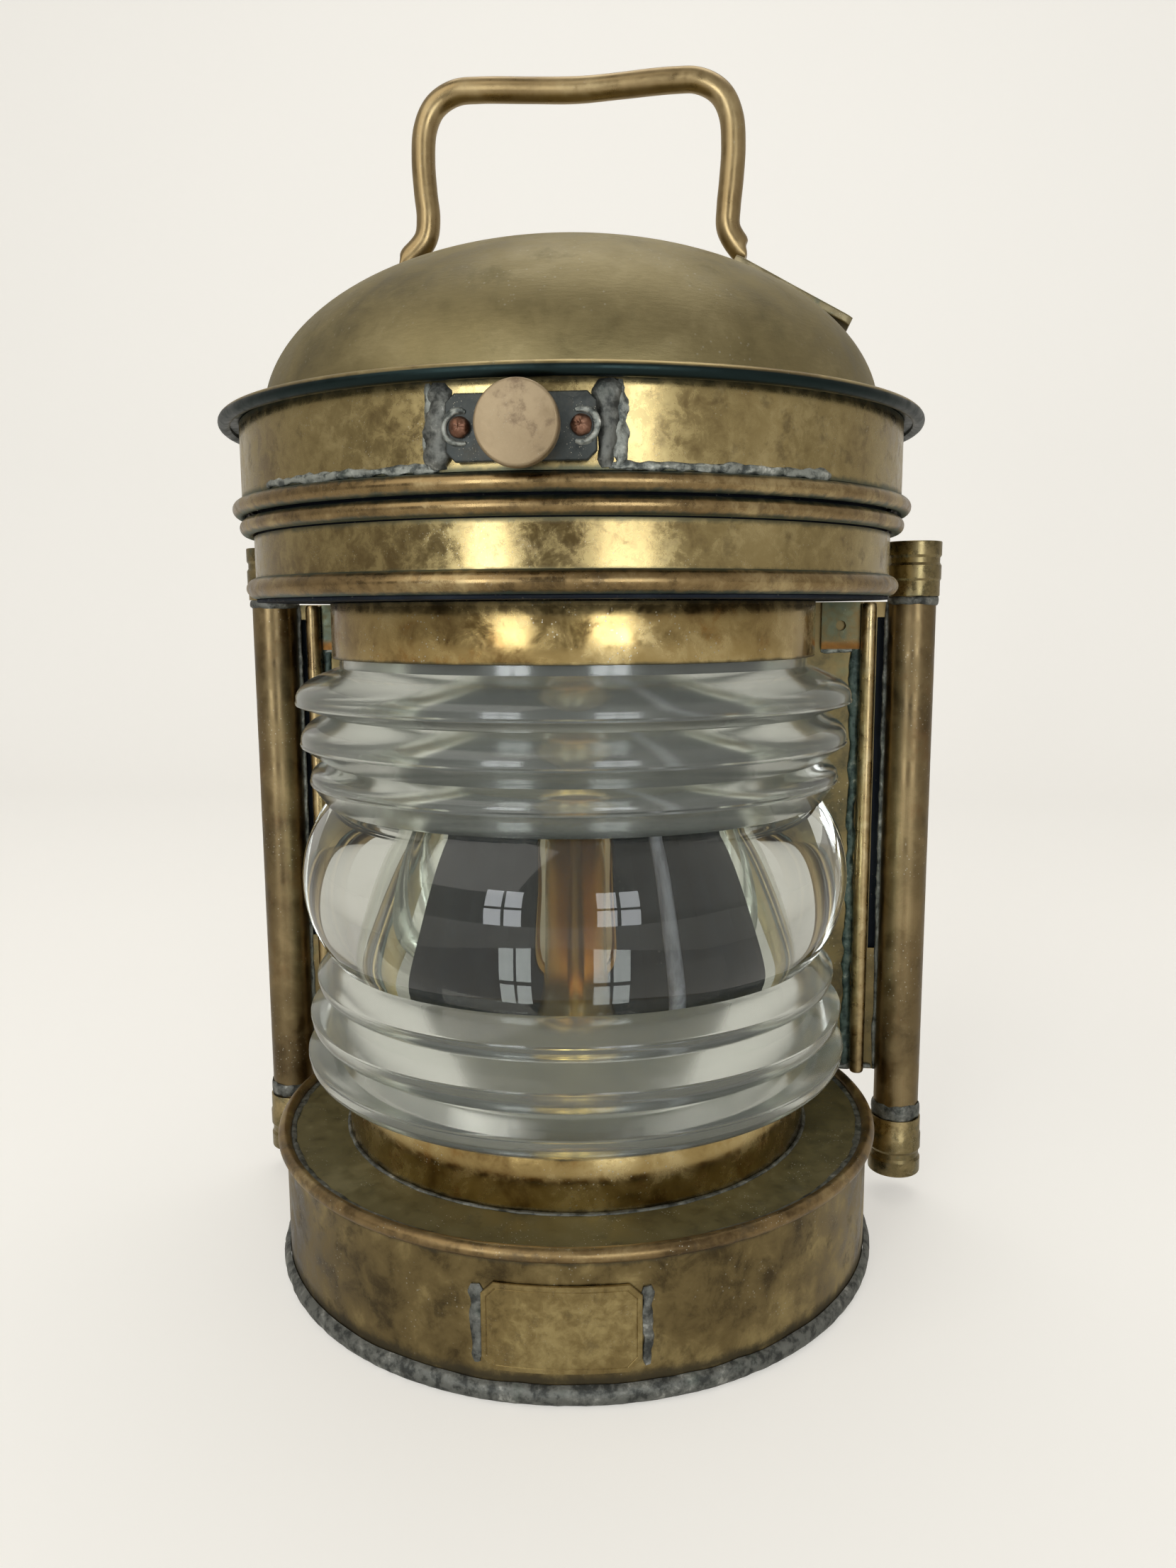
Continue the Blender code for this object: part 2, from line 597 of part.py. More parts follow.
def build_hood(hood, looks):
    shape = turned_shape(wire_outline(HOOD_WIRE_CENTRE_R, HOOD_WIRE_R))
    put = place("hood_bead", shape, hood, (0, 0, HOOD_WIRE_HEIGHT))
    put.data.materials.append(looks["bead_brass"])

    shape = turned_shape(ring_outline(HOOD_BAND_R, HOOD_BAND_R - SHEET, HOOD_BAND_HEIGHT))
    band = place("hood_band", shape, hood, (0, 0, HOOD_BAND_BASE))
    band.data.materials.append(looks["brass"])
    cut(band, stud_hole("band_stud_hole", hood, HOOD_BAND_R))

    put = place("brim", turned_shape(brim_outline()), hood, (0, 0, BRIM_BASE))
    put.data.materials.append(looks["bead_brass"])
    put = place("dome", turned_shape(dome_outline()), hood, (0, 0, DOME_BASE))
    put.data.materials.append(looks["dull_brass"])


def brim_outline():
    """Section of the sloping brim, from under the dome out to its rolled lip."""
    inner = DOME_R - DOME_LAP
    lip = BRIM_R - BRIM_LIP_R

    def under(r):
        return BRIM_SLOPE_SHARE * (HOOD_BAND_R - r)

    points = [(inner, under(inner)), (lip - BRIM_LIP_R, under(lip - BRIM_LIP_R))]
    centre = under(lip) + SHEET / 2
    for share in BRIM_LIP_TURN_SHARES:
        turn = share * pi / 2
        points.append((lip + BRIM_LIP_R * cos(turn), centre + BRIM_LIP_R * sin(turn)))
    points.append((lip - BRIM_LIP_R, under(lip - BRIM_LIP_R) + SHEET))
    points.append((inner, under(inner) + SHEET))
    return points


def dome_outline():
    outer = []
    inner = []
    for i in range(DOME_STEPS + 1):
        turn = pi / 2 * i / DOME_STEPS
        outer.append(dome_section(turn))
        inner.append(dome_section(turn, SHEET))
    outer[-1] = (0, DOME_HEIGHT)
    inner[-1] = (0, DOME_HEIGHT - SHEET)
    return outer + inner[::-1]


def stud_hole(name, parent, reach):
    """Cutter for the latch stud, along Y through a wall at a reach."""
    hole = [(0, 0), (STUD_R + GAP, 0), (STUD_R + GAP, 2 * OVERRUN), (0, 2 * OVERRUN)]
    start = (0, -reach + OVERRUN, LATCH_Z)
    return place(name, turned_shape(hole, steps=SMALL_STEPS), parent, start, (pi / 2, 0, 0))


def rivet_outline(head_r, grip):
    """Section of a domed rivet, its head from 0 up and its shank down through the grip."""
    shank = head_r * RIVET_SHANK_SHARE
    head = [(head_r * out, head_r * up * RIVET_CROWN_SHARE) for out, up in RIVET_HEAD_SHARES]
    return [(0, -grip), (shank, -grip), (shank, 0)] + head + [(0, head_r * RIVET_CROWN_SHARE)]


def rivet_hole_outline(head_r, grip):
    hole_r = head_r * RIVET_SHANK_SHARE + GAP
    return [(0, -grip - OVERRUN), (hole_r, -grip - OVERRUN), (hole_r, OVERRUN), (0, OVERRUN)]


def build_latch(hood, stud_frame, knob_frame, looks):
    half = LATCH_PLATE_WIDTH / 2
    top = LATCH_PLATE_HEIGHT / 2
    clip = LATCH_PLATE_CORNER
    outline = [
        (-half + clip, -top), (half - clip, -top), (half, -top + clip), (half, top - clip),
        (half - clip, top), (-half + clip, top), (-half, top - clip), (-half, -top + clip),
    ]
    back = -HOOD_BAND_R - GAP
    shape = prism_shape(outline, "Y", back - LATCH_PLATE_THICKNESS, back)
    plate = place("latch_plate", shape, hood, (0, 0, LATCH_Z))
    plate.data.materials.append(looks["slate"])
    cut(plate, stud_hole("plate_stud_hole", hood, HOOD_BAND_R))
    face = back - LATCH_PLATE_THICKNESS
    for side, sign in (("left", -1), ("right", 1)):
        seat = (sign * (LATCH_PLATE_WIDTH / 2 - LATCH_RIVET_INSET), face - GAP, LATCH_Z)
        shape = turned_shape(rivet_outline(LATCH_RIVET_R, LATCH_PLATE_THICKNESS), steps=SMALL_STEPS)
        rivet = place("latch_rivet_" + side, shape, hood, seat, (pi / 2, 0, 0))
        rivet.data.materials.append(looks["copper"])
        shape = turned_shape(rivet_hole_outline(LATCH_RIVET_R, LATCH_PLATE_THICKNESS), steps=SMALL_STEPS)
        cut(plate, place("latch_rivet_hole_" + side, shape, hood, seat, (pi / 2, 0, 0)))

    seat = (0, -HOOD_BAND_R + SHEET + NUT_SEAT + NUT_THICKNESS, LATCH_Z)
    shape = turned_shape(ring_outline(NUT_R, STUD_R + GAP, NUT_THICKNESS), steps=SMALL_STEPS)
    nut = place("latch_nut", shape, hood, seat, (pi / 2, 0, 0))
    nut.data.materials.append(looks["brass"])

    tip = -NECK_R + SHEET + STUD_REACH
    knob_back = face - KNOB_STANDOFF
    depth = KNOB_NECK_LENGTH + KNOB_BORE_PAST_NECK
    length = tip - knob_back + depth - GAP
    shaft = [(0, 0), (STUD_R, 0), (STUD_R, length), (0, length)]
    shape = turned_shape(shaft, steps=SMALL_STEPS)
    stud = place("latch_stud", shape, stud_frame, (0, tip, LATCH_Z), (pi / 2, 0, 0))
    stud.data.materials.append(looks["brass"])

    thick = KNOB_NECK_LENGTH + KNOB_FACE_THICKNESS
    bore = STUD_R + GAP
    outline = [
        (bore, 0), (KNOB_NECK_R, 0), (KNOB_NECK_R, KNOB_NECK_LENGTH),
        (KNOB_R - KNOB_EDGE, KNOB_NECK_LENGTH), (KNOB_R, KNOB_NECK_LENGTH + KNOB_EDGE),
        (KNOB_R, thick - KNOB_EDGE), (KNOB_R - KNOB_EDGE, thick), (0, thick),
        (0, depth), (bore, depth),
    ]
    shape = turned_shape(outline, steps=MID_STEPS)
    knob = place("latch_knob", shape, knob_frame, (0, knob_back, LATCH_Z), (pi / 2, 0, 0))
    knob.data.materials.append(looks["knob_brass"])


def smooth_points(points, steps):
    """Points of a Catmull-Rom curve through the given points."""
    first = points[0] * 2 - points[1]
    last = points[-1] * 2 - points[-2]
    padded = [first] + points + [last]
    result = []
    for i in range(1, len(padded) - 2):
        a, b, c, d = padded[i - 1:i + 3]
        for k in range(steps):
            t = k / steps
            bend = (a * 2 - b * 5 + c * 4 - d) * t ** 2 + (b * 3 - a - c * 3 + d) * t ** 3
            result.append((b * 2 + (c - a) * t + bend) / 2)
    result.append(points[-1])
    return result


def rod(name, points, radius, parent, resolution):
    """Round rod along points, as a bevelled curve with filled ends."""
    curve = bpy.data.curves.new(name, "CURVE")
    curve.dimensions = "3D"
    curve.bevel_depth = radius
    curve.bevel_resolution = resolution
    curve.use_fill_caps = True
    spline = curve.splines.new("POLY")
    spline.points.add(len(points) - 1)
    for target, point in zip(spline.points, points):
        target.co = (point[0], point[1], point[2], 1)
    piece = bpy.data.objects.new(name, curve)
    bpy.context.scene.collection.objects.link(piece)
    if parent is not None:
        piece.parent = parent
        piece.location = -parent.matrix_world.translation
    return piece


def build_handle(hood, looks):
    crown = DOME_BASE + DOME_HEIGHT

    def spot(sign, across, up):
        lean = HANDLE_LEAN * min(1, max(0, up * HANDLE_LEAN_SHARE))
        return Vector((sign * HANDLE_HALF_SPAN * across + lean, 0, crown + HANDLE_RISE * up))

    def foot(sign, reach):
        point, _ = strap_point(reach, STRAP_THICKNESS + GAP + HANDLE_R)
        return Vector((sign * point.x, 0, DOME_BASE + point.z))

    left = [foot(-1, reach) for reach in HANDLE_FOOT_PLACES]
    left += [spot(-1, across, up) for across, up in HANDLE_SIDE_SHARES]
    right = [foot(1, reach) for reach in HANDLE_FOOT_PLACES]
    right += [spot(1, across, up) for across, up in HANDLE_SIDE_SHARES]
    route = left + [spot(1, 0, HANDLE_BAR_MIDDLE_SHARE)] + right[::-1]
    handle = rod("handle", smooth_points(route, HANDLE_SMOOTH_STEPS), HANDLE_R, hood, 2)
    handle.data.materials.append(looks["brass"])
    for side, sign in (("left", -1), ("right", 1)):
        build_strap(hood, looks, side, sign)


def build_strap(hood, looks, side, sign):
    """Straight strap that rests on the dome, held by two rivets."""
    outline = []
    for reach, proud in ((STRAP_INNER_R, 0), (STRAP_OUTER_R, 0), (STRAP_OUTER_R, STRAP_THICKNESS),
                         (STRAP_INNER_R, STRAP_THICKNESS)):
        corner, normal = strap_point(reach, proud)
        outline.append((sign * corner.x, corner.z))
    shape = prism_shape(outline, "Y", -STRAP_WIDTH / 2, STRAP_WIDTH / 2)
    strap = place("handle_strap_" + side, shape, hood, (0, 0, DOME_BASE))
    strap.data.materials.append(looks["dull_brass"])
    tilt = (0, sign * atan2(normal.x, normal.z), 0)
    grip = STRAP_THICKNESS
    for number, reach in enumerate(STRAP_RIVET_PLACES, start=1):
        seat, _ = strap_point(reach, STRAP_THICKNESS + GAP)
        where = (sign * seat.x, 0, DOME_BASE + seat.z)
        shape = turned_shape(rivet_outline(RIVET_HEAD_R, grip), steps=SMALL_STEPS)
        rivet = place("strap_rivet_%s_%d" % (side, number), shape, hood, where, tilt)
        rivet.data.materials.append(looks["copper"])
        shape = turned_shape(rivet_hole_outline(RIVET_HEAD_R, grip), steps=SMALL_STEPS)
        cut(strap, place("strap_rivet_hole_%s_%d" % (side, number), shape, hood, where, tilt))


def knuckle_arc(first, last):
    """Points of the hinge knuckle's round side, by angle in the YZ plane."""
    points = []
    for i in range(KNUCKLE_STEPS + 1):
        turn = radians(first + (last - first) * i / KNUCKLE_STEPS)
        points.append((HINGE_Y + HINGE_KNUCKLE_R * cos(turn), HINGE_Z + HINGE_KNUCKLE_R * sin(turn)))
    return points


def hinge_bore(name, parent):
    hole_r = HINGE_PIN_R + GAP
    reach = HINGE_WIDTH / 2 + OVERRUN
    hole = [(0, -reach), (hole_r, -reach), (hole_r, reach), (0, reach)]
    return place(name, turned_shape(hole, steps=SMALL_STEPS), parent, (0, HINGE_Y, HINGE_Z), (0, pi / 2, 0))


def hinge_notch(name, parent, start, end, low, high):
    near = HINGE_Y - HINGE_KNUCKLE_R - OVERRUN
    far = HINGE_Y + HINGE_KNUCKLE_R + OVERRUN
    outline = [(near, low), (far, low), (far, high), (near, high)]
    return place(name, prism_shape(outline, "X", start, end), parent)


def build_hinge(root, hood, looks):
    half = HINGE_WIDTH / 2
    middle = HINGE_MIDDLE / 2
    lower_face = HEAD_WIRE_CENTRE_R + HEAD_WIRE_R + GAP
    elbow = HINGE_Z - HINGE_KNUCKLE_R
    foot = elbow - HINGE_LOWER_LENGTH
    outer = lower_face + HINGE_PLATE_THICKNESS
    outline = [(lower_face, foot), (lower_face, elbow)] + knuckle_arc(180, -90)
    outline += [(outer, elbow - HINGE_KNUCKLE_R), (outer, foot)]
    lower = place("hinge_leaf_lower", prism_shape(outline, "X", -half, half), root)
    lower.data.materials.append(looks["dark_brass"])
    low = elbow - HINGE_SLACK
    high = HINGE_Z + HINGE_KNUCKLE_R + OVERRUN
    cut(lower, hinge_notch("lower_leaf_notch", root, -middle - GAP, middle + GAP, low, high))
    cut(lower, hinge_bore("lower_leaf_bore", root))

    upper_face = HOOD_WIRE_CENTRE_R + HOOD_WIRE_R + GAP
    shoulder = HINGE_Z + HINGE_KNUCKLE_R
    top = shoulder + HINGE_UPPER_LENGTH - HINGE_KNUCKLE_R
    outer = upper_face + HINGE_PLATE_THICKNESS
    outline = [(upper_face, top), (outer, top), (outer, shoulder + HINGE_KNUCKLE_R)]
    outline += knuckle_arc(90, -180) + [(upper_face, shoulder)]
    upper = place("hinge_leaf_upper", prism_shape(outline, "X", -half, half), hood)
    upper.data.materials.append(looks["dark_brass"])
    low = HINGE_Z - HINGE_KNUCKLE_R - OVERRUN
    high = shoulder + HINGE_SLACK
    cut(upper, hinge_notch("upper_leaf_notch_left", hood, -half - OVERRUN, -middle, low, high))
    cut(upper, hinge_notch("upper_leaf_notch_right", hood, middle, half + OVERRUN, low, high))
    cut(upper, hinge_bore("upper_leaf_bore", hood))

    end = half + GAP
    head = end + PIN_HEAD_LENGTH
    outline = [
        (0, -head), (PIN_HEAD_R, -head), (PIN_HEAD_R, -end), (HINGE_PIN_R, -end),
        (HINGE_PIN_R, end), (PIN_HEAD_R, end), (PIN_HEAD_R, head), (0, head),
    ]
    shape = turned_shape(outline, steps=SMALL_STEPS)
    pin = place("hinge_pin", shape, root, (0, HINGE_Y, HINGE_Z), (0, pi / 2, 0))
    pin.data.materials.append(looks["brass"])


def cap_outline(height):
    """Section of a tube end fitting: a sleeve with two raised rings."""
    bore = TUBE_R + GAP
    groove = CAP_R - CAP_GROOVE
    low, ring, step, lip = [height * share for share in CAP_RING_SHARES]
    return [
        (bore, low), (groove, low), (groove, ring), (CAP_R, ring), (CAP_R, step),
        (groove, step), (groove, lip), (CAP_R, lip), (CAP_R, height), (bore, height),
    ]


def build_column(root, looks, side, sign):
    """Guide tube with its end fittings, side plate, post and lug, on one side."""
    centre = (sign * TUBE_X, TUBE_Y, TUBE_BOTTOM)
    shape = turned_shape(ring_outline(TUBE_R, TUBE_R - TUBE_WALL, TUBE_TOP - TUBE_BOTTOM), steps=MID_STEPS)
    tube = place("guide_tube_" + side, shape, root, centre)
    tube.data.materials.append(looks["dark_brass"])
    shape = turned_shape(cap_outline(TOP_CAP_HEIGHT), steps=MID_STEPS)
    put = place("tube_top_cap_" + side, shape, root, (sign * TUBE_X, TUBE_Y, TUBE_TOP - TOP_CAP_HEIGHT))
    put.data.materials.append(looks["brass"])
    outline = [(r, BOTTOM_CAP_HEIGHT - z) for r, z in cap_outline(BOTTOM_CAP_HEIGHT)]
    shape = turned_shape(outline, steps=MID_STEPS)
    put = place("tube_bottom_cap_" + side, shape, root, centre)
    put.data.materials.append(looks["dark_brass"])

    inner = sign * SIDE_PLATE_INNER
    outer = sign * SIDE_PLATE_OUTER
    low = SIDE_PLATE_BASE
    high = SIDE_PLATE_TOP
    outline = [(inner, low), (outer, low), (outer, high), (inner, high)]
    shape = prism_shape(outline, "Y", SIDE_PLATE_Y, SIDE_PLATE_Y + SHEET)
    plate = place("side_plate_" + side, shape, root)
    plate.data.materials.append(looks["brass"])
    middle = sign * (TUBE_X - TUBE_R - SLOT_OFFSET)
    half = SLOT_WIDTH / 2
    foot = SIDE_PLATE_BASE + SLOT_FOOT
    head = SIDE_PLATE_TOP - SLOT_HEAD
    outline = [(middle - half, foot), (middle + half, foot), (middle + half, head), (middle - half, head)]
    shape = prism_shape(outline, "Y", SIDE_PLATE_Y - OVERRUN, SIDE_PLATE_Y + OVERRUN)
    cut(plate, place("plate_slot_" + side, shape, root))

    face = SIDE_PLATE_Y - GAP
    outline = [(sign * POST_X - POST_R, face), (sign * POST_X + POST_R, face)]
    for i in range(POST_STEPS + 1):
        turn = pi * i / POST_STEPS
        outline.append((sign * POST_X + POST_R * cos(turn), face - POST_DEPTH - POST_R * sin(turn)))
    shape = prism_shape(outline, "Z", SIDE_PLATE_BASE, SIDE_PLATE_TOP - GAP)
    post = place("side_post_" + side, shape, root)
    post.data.materials.append(looks["brass"])
    build_lug(root, looks, side, sign)


def build_lug(root, looks, side, sign):
    """Small square plate with a hole, beside the upper collar."""
    top = SIDE_PLATE_TOP
    low = top - LUG_HEIGHT
    far = POST_X - POST_R - GAP
    near = far - LUG_WIDTH
    outline = [(sign * near, low), (sign * far, low), (sign * far, top), (sign * near, top)]
    back = SIDE_PLATE_Y - GAP
    shape = prism_shape(outline, "Y", back - LUG_THICKNESS, back)
    lug = place("lens_lug_" + side, shape, root)
    lug.data.materials.append(looks["dark_brass"])
    hole = [(0, 0), (LUG_HOLE_R, 0), (LUG_HOLE_R, 2 * OVERRUN), (0, 2 * OVERRUN)]
    start = (sign * (near + far) / 2, back + OVERRUN, (low + top) / 2)
    cutter = place("lug_hole_" + side, turned_shape(hole, steps=SMALL_STEPS), root, start, (pi / 2, 0, 0))
    cut(lug, cutter)


def build_lamp(root, bulb_frame, glass_frame, looks):
    flange_base = DECK_TOP + GAP
    holder_base = flange_base + LAMP_FLANGE_THICKNESS + GAP
    thick = LAMP_FLANGE_THICKNESS
    outline = [(0, 0), (LAMP_FLANGE_R, 0), (LAMP_FLANGE_R, thick), (0, thick)]
    put = place("lamp_flange", turned_shape(outline, steps=MID_STEPS), root, (0, 0, flange_base))
    put.data.materials.append(looks["brass"])

    inner = HOLDER_R - HOLDER_WALL
    outline = [
        (0, 0), (HOLDER_R, 0), (HOLDER_R, HOLDER_HEIGHT), (inner, HOLDER_HEIGHT),
        (inner, HOLDER_WALL), (0, HOLDER_WALL),
    ]
    holder = place("lampholder", turned_shape(outline, steps=MID_STEPS), root, (0, 0, holder_base))
    holder.data.materials.append(looks["brass"])
    cable_z = holder_base + CABLE_HOLDER_HEIGHT
    reach = CABLE_R + GAP
    hole = [(0, 0), (reach, 0), (reach, 2 * OVERRUN), (0, 2 * OVERRUN)]
    start = radial(CABLE_TURN, HOLDER_R - HOLDER_WALL / 2 - OVERRUN, cable_z)
    shape = turned_shape(hole, steps=SMALL_STEPS)
    cut(holder, place("holder_cable_hole", shape, root, start, outward(CABLE_TURN)))

    insert_r = inner - GAP
    insert_base = HOLDER_WALL + GAP
    insert_top = HOLDER_HEIGHT - INSERT_DROP
    socket_r = BULB_CAP_R + SOCKET_CLEARANCE
    socket_base = insert_top - SOCKET_DEPTH
    outline = [
        (0, insert_base), (insert_r, insert_base), (insert_r, insert_top),
        (socket_r, insert_top), (socket_r, socket_base), (0, socket_base),
    ]
    put = place("lampholder_insert", turned_shape(outline, steps=MID_STEPS), root, (0, 0, holder_base))
    put.data.materials.append(looks["porcelain"])

    cap_base = holder_base + socket_base + GAP
    cup_r = BULB_CAP_R - BULB_CUP_WALL
    cup_base = BULB_CAP_HEIGHT - BULB_CUP_DEPTH
    outline = [
        (0, 0), (BULB_CONTACT_R, 0), (BULB_CAP_R, BULB_CONTACT_HEIGHT), (BULB_CAP_R, BULB_CAP_HEIGHT),
        (cup_r, BULB_CAP_HEIGHT), (cup_r, cup_base), (0, cup_base),
    ]
    put = place("bulb_cap", turned_shape(outline, steps=MID_STEPS), bulb_frame, (0, 0, cap_base))
    put.data.materials.append(looks["brass"])
    build_bulb_glass(glass_frame, looks, cap_base + cup_base + GAP, cup_r - GAP)
    build_cable(root, looks, cable_z, insert_r)


def build_bulb_glass(frame, looks, base, neck_r):
    """Candle-shaped glass, open at its neck inside the cap."""
    outer = []
    for up, out in BULB_SHARES:
        reach = min(BULB_R * out, neck_r) if out == BULB_SHARES[0][1] else BULB_R * out
        outer.append((reach, BULB_LENGTH * up))
    inner = [(r - BULB_GLASS, z) for r, z in outer if r > 2 * BULB_GLASS]
    outline = outer + [(0, BULB_LENGTH), (0, BULB_LENGTH - BULB_GLASS)] + inner[::-1]
    put = place("bulb_glass", turned_shape(outline, steps=MID_STEPS), frame, (0, 0, base))
    put.data.materials.append(looks["glass"])


def build_cable(root, looks, end_height, insert_r):
    """Cable from the gland down inside the back shell and into the lampholder."""
    gland_z = LENS_TOP - GLAND_BELOW_LENS_TOP
    shell_inner = LENS_NECK_R - SHEET
    nut_face = shell_inner - GLAND_NUT_SEAT - GLAND_NUT_THICKNESS
    start = LENS_NECK_R + GLAND_FLANGE_THICKNESS / 2
    upper_centre = nut_face - GLAND_NUT_THICKNESS
    bend_r = (upper_centre - HOLDER_R - CABLE_STRAIGHT) / 2
    run = upper_centre - bend_r
    points = [(start, gland_z), ((start + upper_centre) / 2, gland_z)]
    for i in range(CABLE_BEND_STEPS + 1):
        turn = pi / 2 * i / CABLE_BEND_STEPS
        points.append((upper_centre - bend_r * sin(turn), gland_z - bend_r * (1 - cos(turn))))
    top = gland_z - bend_r
    bottom = end_height + bend_r
    for i in range(1, CABLE_BEND_STEPS):
        points.append((run, top + (bottom - top) * i / CABLE_BEND_STEPS))
    for i in range(CABLE_BEND_STEPS + 1):
        turn = pi / 2 * i / CABLE_BEND_STEPS
        points.append((run - bend_r * (1 - cos(turn)), bottom - bend_r * sin(turn)))
    points.append((insert_r + GAP + GAP, end_height))
    route = [radial(CABLE_TURN, reach, height) for reach, height in points]
    cable = rod("lamp_cable", route, CABLE_R, root, 2)
    cable.data.materials.append(looks["cable"])

    seat = LENS_NECK_R + GAP
    bore = CABLE_R + GAP
    outline = [
        (bore, -GLAND_REACH), (GLAND_R, -GLAND_REACH), (GLAND_R, 0), (GLAND_FLANGE_R, 0),
        (GLAND_FLANGE_R, GLAND_FLANGE_THICKNESS), (bore, GLAND_FLANGE_THICKNESS),
    ]
    shape = turned_shape(outline, steps=SMALL_STEPS)
    gland = place("cable_gland", shape, root, radial(CABLE_TURN, seat, gland_z), outward(CABLE_TURN))
    gland.data.materials.append(looks["brass"])
    outline = ring_outline(GLAND_NUT_R, GLAND_R + GAP, GLAND_NUT_THICKNESS)
    shape = turned_shape(outline, steps=SMALL_STEPS)
    nut = place("gland_nut", shape, root, radial(CABLE_TURN, nut_face, gland_z), outward(CABLE_TURN))
    nut.data.materials.append(looks["brass"])


def build_lantern():
    clear_scene()
    looks = {
        "brass": look("brass", BRASS, 0.30, 1.0),
        "dark_brass": look("dark_brass", DARK_BRASS, 0.42, 1.0),
        "dull_brass": look("dull_brass", DULL_BRASS, 0.48, 1.0),
        "bead_brass": look("bead_brass", BEAD_BRASS, 0.35, 1.0),
        "lead": look("lead", LEAD, 0.55, 0.8),
        "slate": look("slate", SLATE, 0.55, 0.6),
        "copper": look("copper", COPPER, 0.45, 1.0),
        "knob_brass": look("knob_brass", KNOB_BRASS, 0.55, 0.9),
        "glass": look("glass", GLASS, 0.05, 0.0, 0.35),
        "rubber": look("rubber", RUBBER, 0.80, 0.0),
        "porcelain": look("porcelain", PORCELAIN, 0.35, 0.0),
        "cable": look("cable", CABLE_GREY, 0.60, 0.0),
    }
    root = empty("lantern")
    hood = empty("hood_hinge_axis", (0, HINGE_Y, HINGE_Z), root)
    stud_frame = empty("latch_travel_axis", (0, -HOOD_BAND_R, LATCH_Z), hood)
    knob_frame = empty("latch_turn_axis", (0, -HOOD_BAND_R, LATCH_Z), stud_frame)
    bulb_frame = empty("bulb_travel_axis", (0, 0, DECK_TOP), root)
    glass_frame = empty("bulb_turn_axis", (0, 0, DECK_TOP), bulb_frame)
    build_base(root, looks)
    build_lens(root, looks)
    build_back_shell(root, looks)
    build_head(root, looks)
    build_hood(hood, looks)
    build_latch(hood, stud_frame, knob_frame, looks)
    build_handle(hood, looks)
    build_hinge(root, hood, looks)
    for side, sign in (("left", -1), ("right", 1)):
        build_column(root, looks, side, sign)
    build_lamp(root, bulb_frame, glass_frame, looks)


build_lantern()
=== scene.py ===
"""Looks of the ship lantern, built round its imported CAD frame."""
from math import atan2, cos, pi, radians, sin, sqrt

import bmesh
import bpy
from mathutils import Matrix, Vector, noise


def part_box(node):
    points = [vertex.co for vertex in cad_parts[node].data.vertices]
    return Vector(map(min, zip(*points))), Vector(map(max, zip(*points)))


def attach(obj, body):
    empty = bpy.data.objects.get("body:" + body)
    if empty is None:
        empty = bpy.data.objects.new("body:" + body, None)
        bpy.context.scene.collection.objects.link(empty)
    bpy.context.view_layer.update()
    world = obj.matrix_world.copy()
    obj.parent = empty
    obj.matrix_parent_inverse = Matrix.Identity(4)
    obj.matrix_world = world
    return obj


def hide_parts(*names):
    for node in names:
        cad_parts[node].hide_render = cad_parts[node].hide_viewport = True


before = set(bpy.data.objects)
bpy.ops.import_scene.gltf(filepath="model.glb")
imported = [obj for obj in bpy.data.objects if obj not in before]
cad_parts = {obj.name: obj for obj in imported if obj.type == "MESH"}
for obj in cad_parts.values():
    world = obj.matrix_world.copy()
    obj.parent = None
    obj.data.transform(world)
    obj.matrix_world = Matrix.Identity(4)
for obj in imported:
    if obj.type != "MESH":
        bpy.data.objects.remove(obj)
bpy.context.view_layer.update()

FULL_TURN = 2 * pi
RING_STEPS = 192
SHEET = 0.0012
GAP = 0.0003
SIDES = (("left", -1), ("right", 1))


def top(node):
    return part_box(node)[1].z


def low(node):
    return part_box(node)[0].z


def span(node):
    return low(node), top(node)


def reach(node):
    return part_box(node)[1].x


LENS_MIDDLE = (low("lens") + top("lens")) / 2
LENS_HALF = (top("lens") - low("lens")) / 2
LENS_END = radians(112.5)


# ---------------------------------------------------------------- materials


class Nodes:
    """A node tree whose nodes are made by short calls."""

    def __init__(self, tree):
        self.tree = tree

    def node(self, kind, setup=None, **values):
        """Make a node. Inputs are given by name, or as _0, _1 by place."""
        made = self.tree.nodes.new(kind)
        for key, value in (setup or {}).items():
            setattr(made, key, value)
        for key, value in values.items():
            self.feed(made.inputs[int(key[1:]) if key[0] == "_" else key.replace("_", " ")], value)
        return made

    def feed(self, socket, value):
        if isinstance(value, bpy.types.NodeSocket):
            self.tree.links.new(value, socket)
        elif isinstance(value, tuple) and len(value) == 3 and socket.type == "RGBA":
            socket.default_value = (*value, 1)
        else:
            socket.default_value = value

    def math(self, kind, a, b=0.0, clamp=False):
        return self.node("ShaderNodeMath", {"operation": kind, "use_clamp": clamp}, _0=a, _1=b).outputs[0]

    def add(self, a, b):
        return self.math("ADD", a, b)

    def minus(self, a, b):
        return self.math("SUBTRACT", a, b)

    def both(self, a, b):
        return self.math("MULTIPLY", a, b)

    def band(self, value, start, end, first=0.0, last=1.0):
        """Smooth step from first to last as the value goes from start to end."""
        setup = {"interpolation_type": "SMOOTHSTEP"}
        return self.node("ShaderNodeMapRange", setup, _0=value, _1=start, _2=end, _3=first, _4=last).outputs[0]

    def mix(self, share, a, b):
        return self.node("ShaderNodeMix", {"data_type": "RGBA"}, _0=share, _6=a, _7=b).outputs[2]

    def blend(self, share, a, b):
        return self.node("ShaderNodeMix", {"data_type": "FLOAT"}, _0=share, _2=a, _3=b).outputs[0]


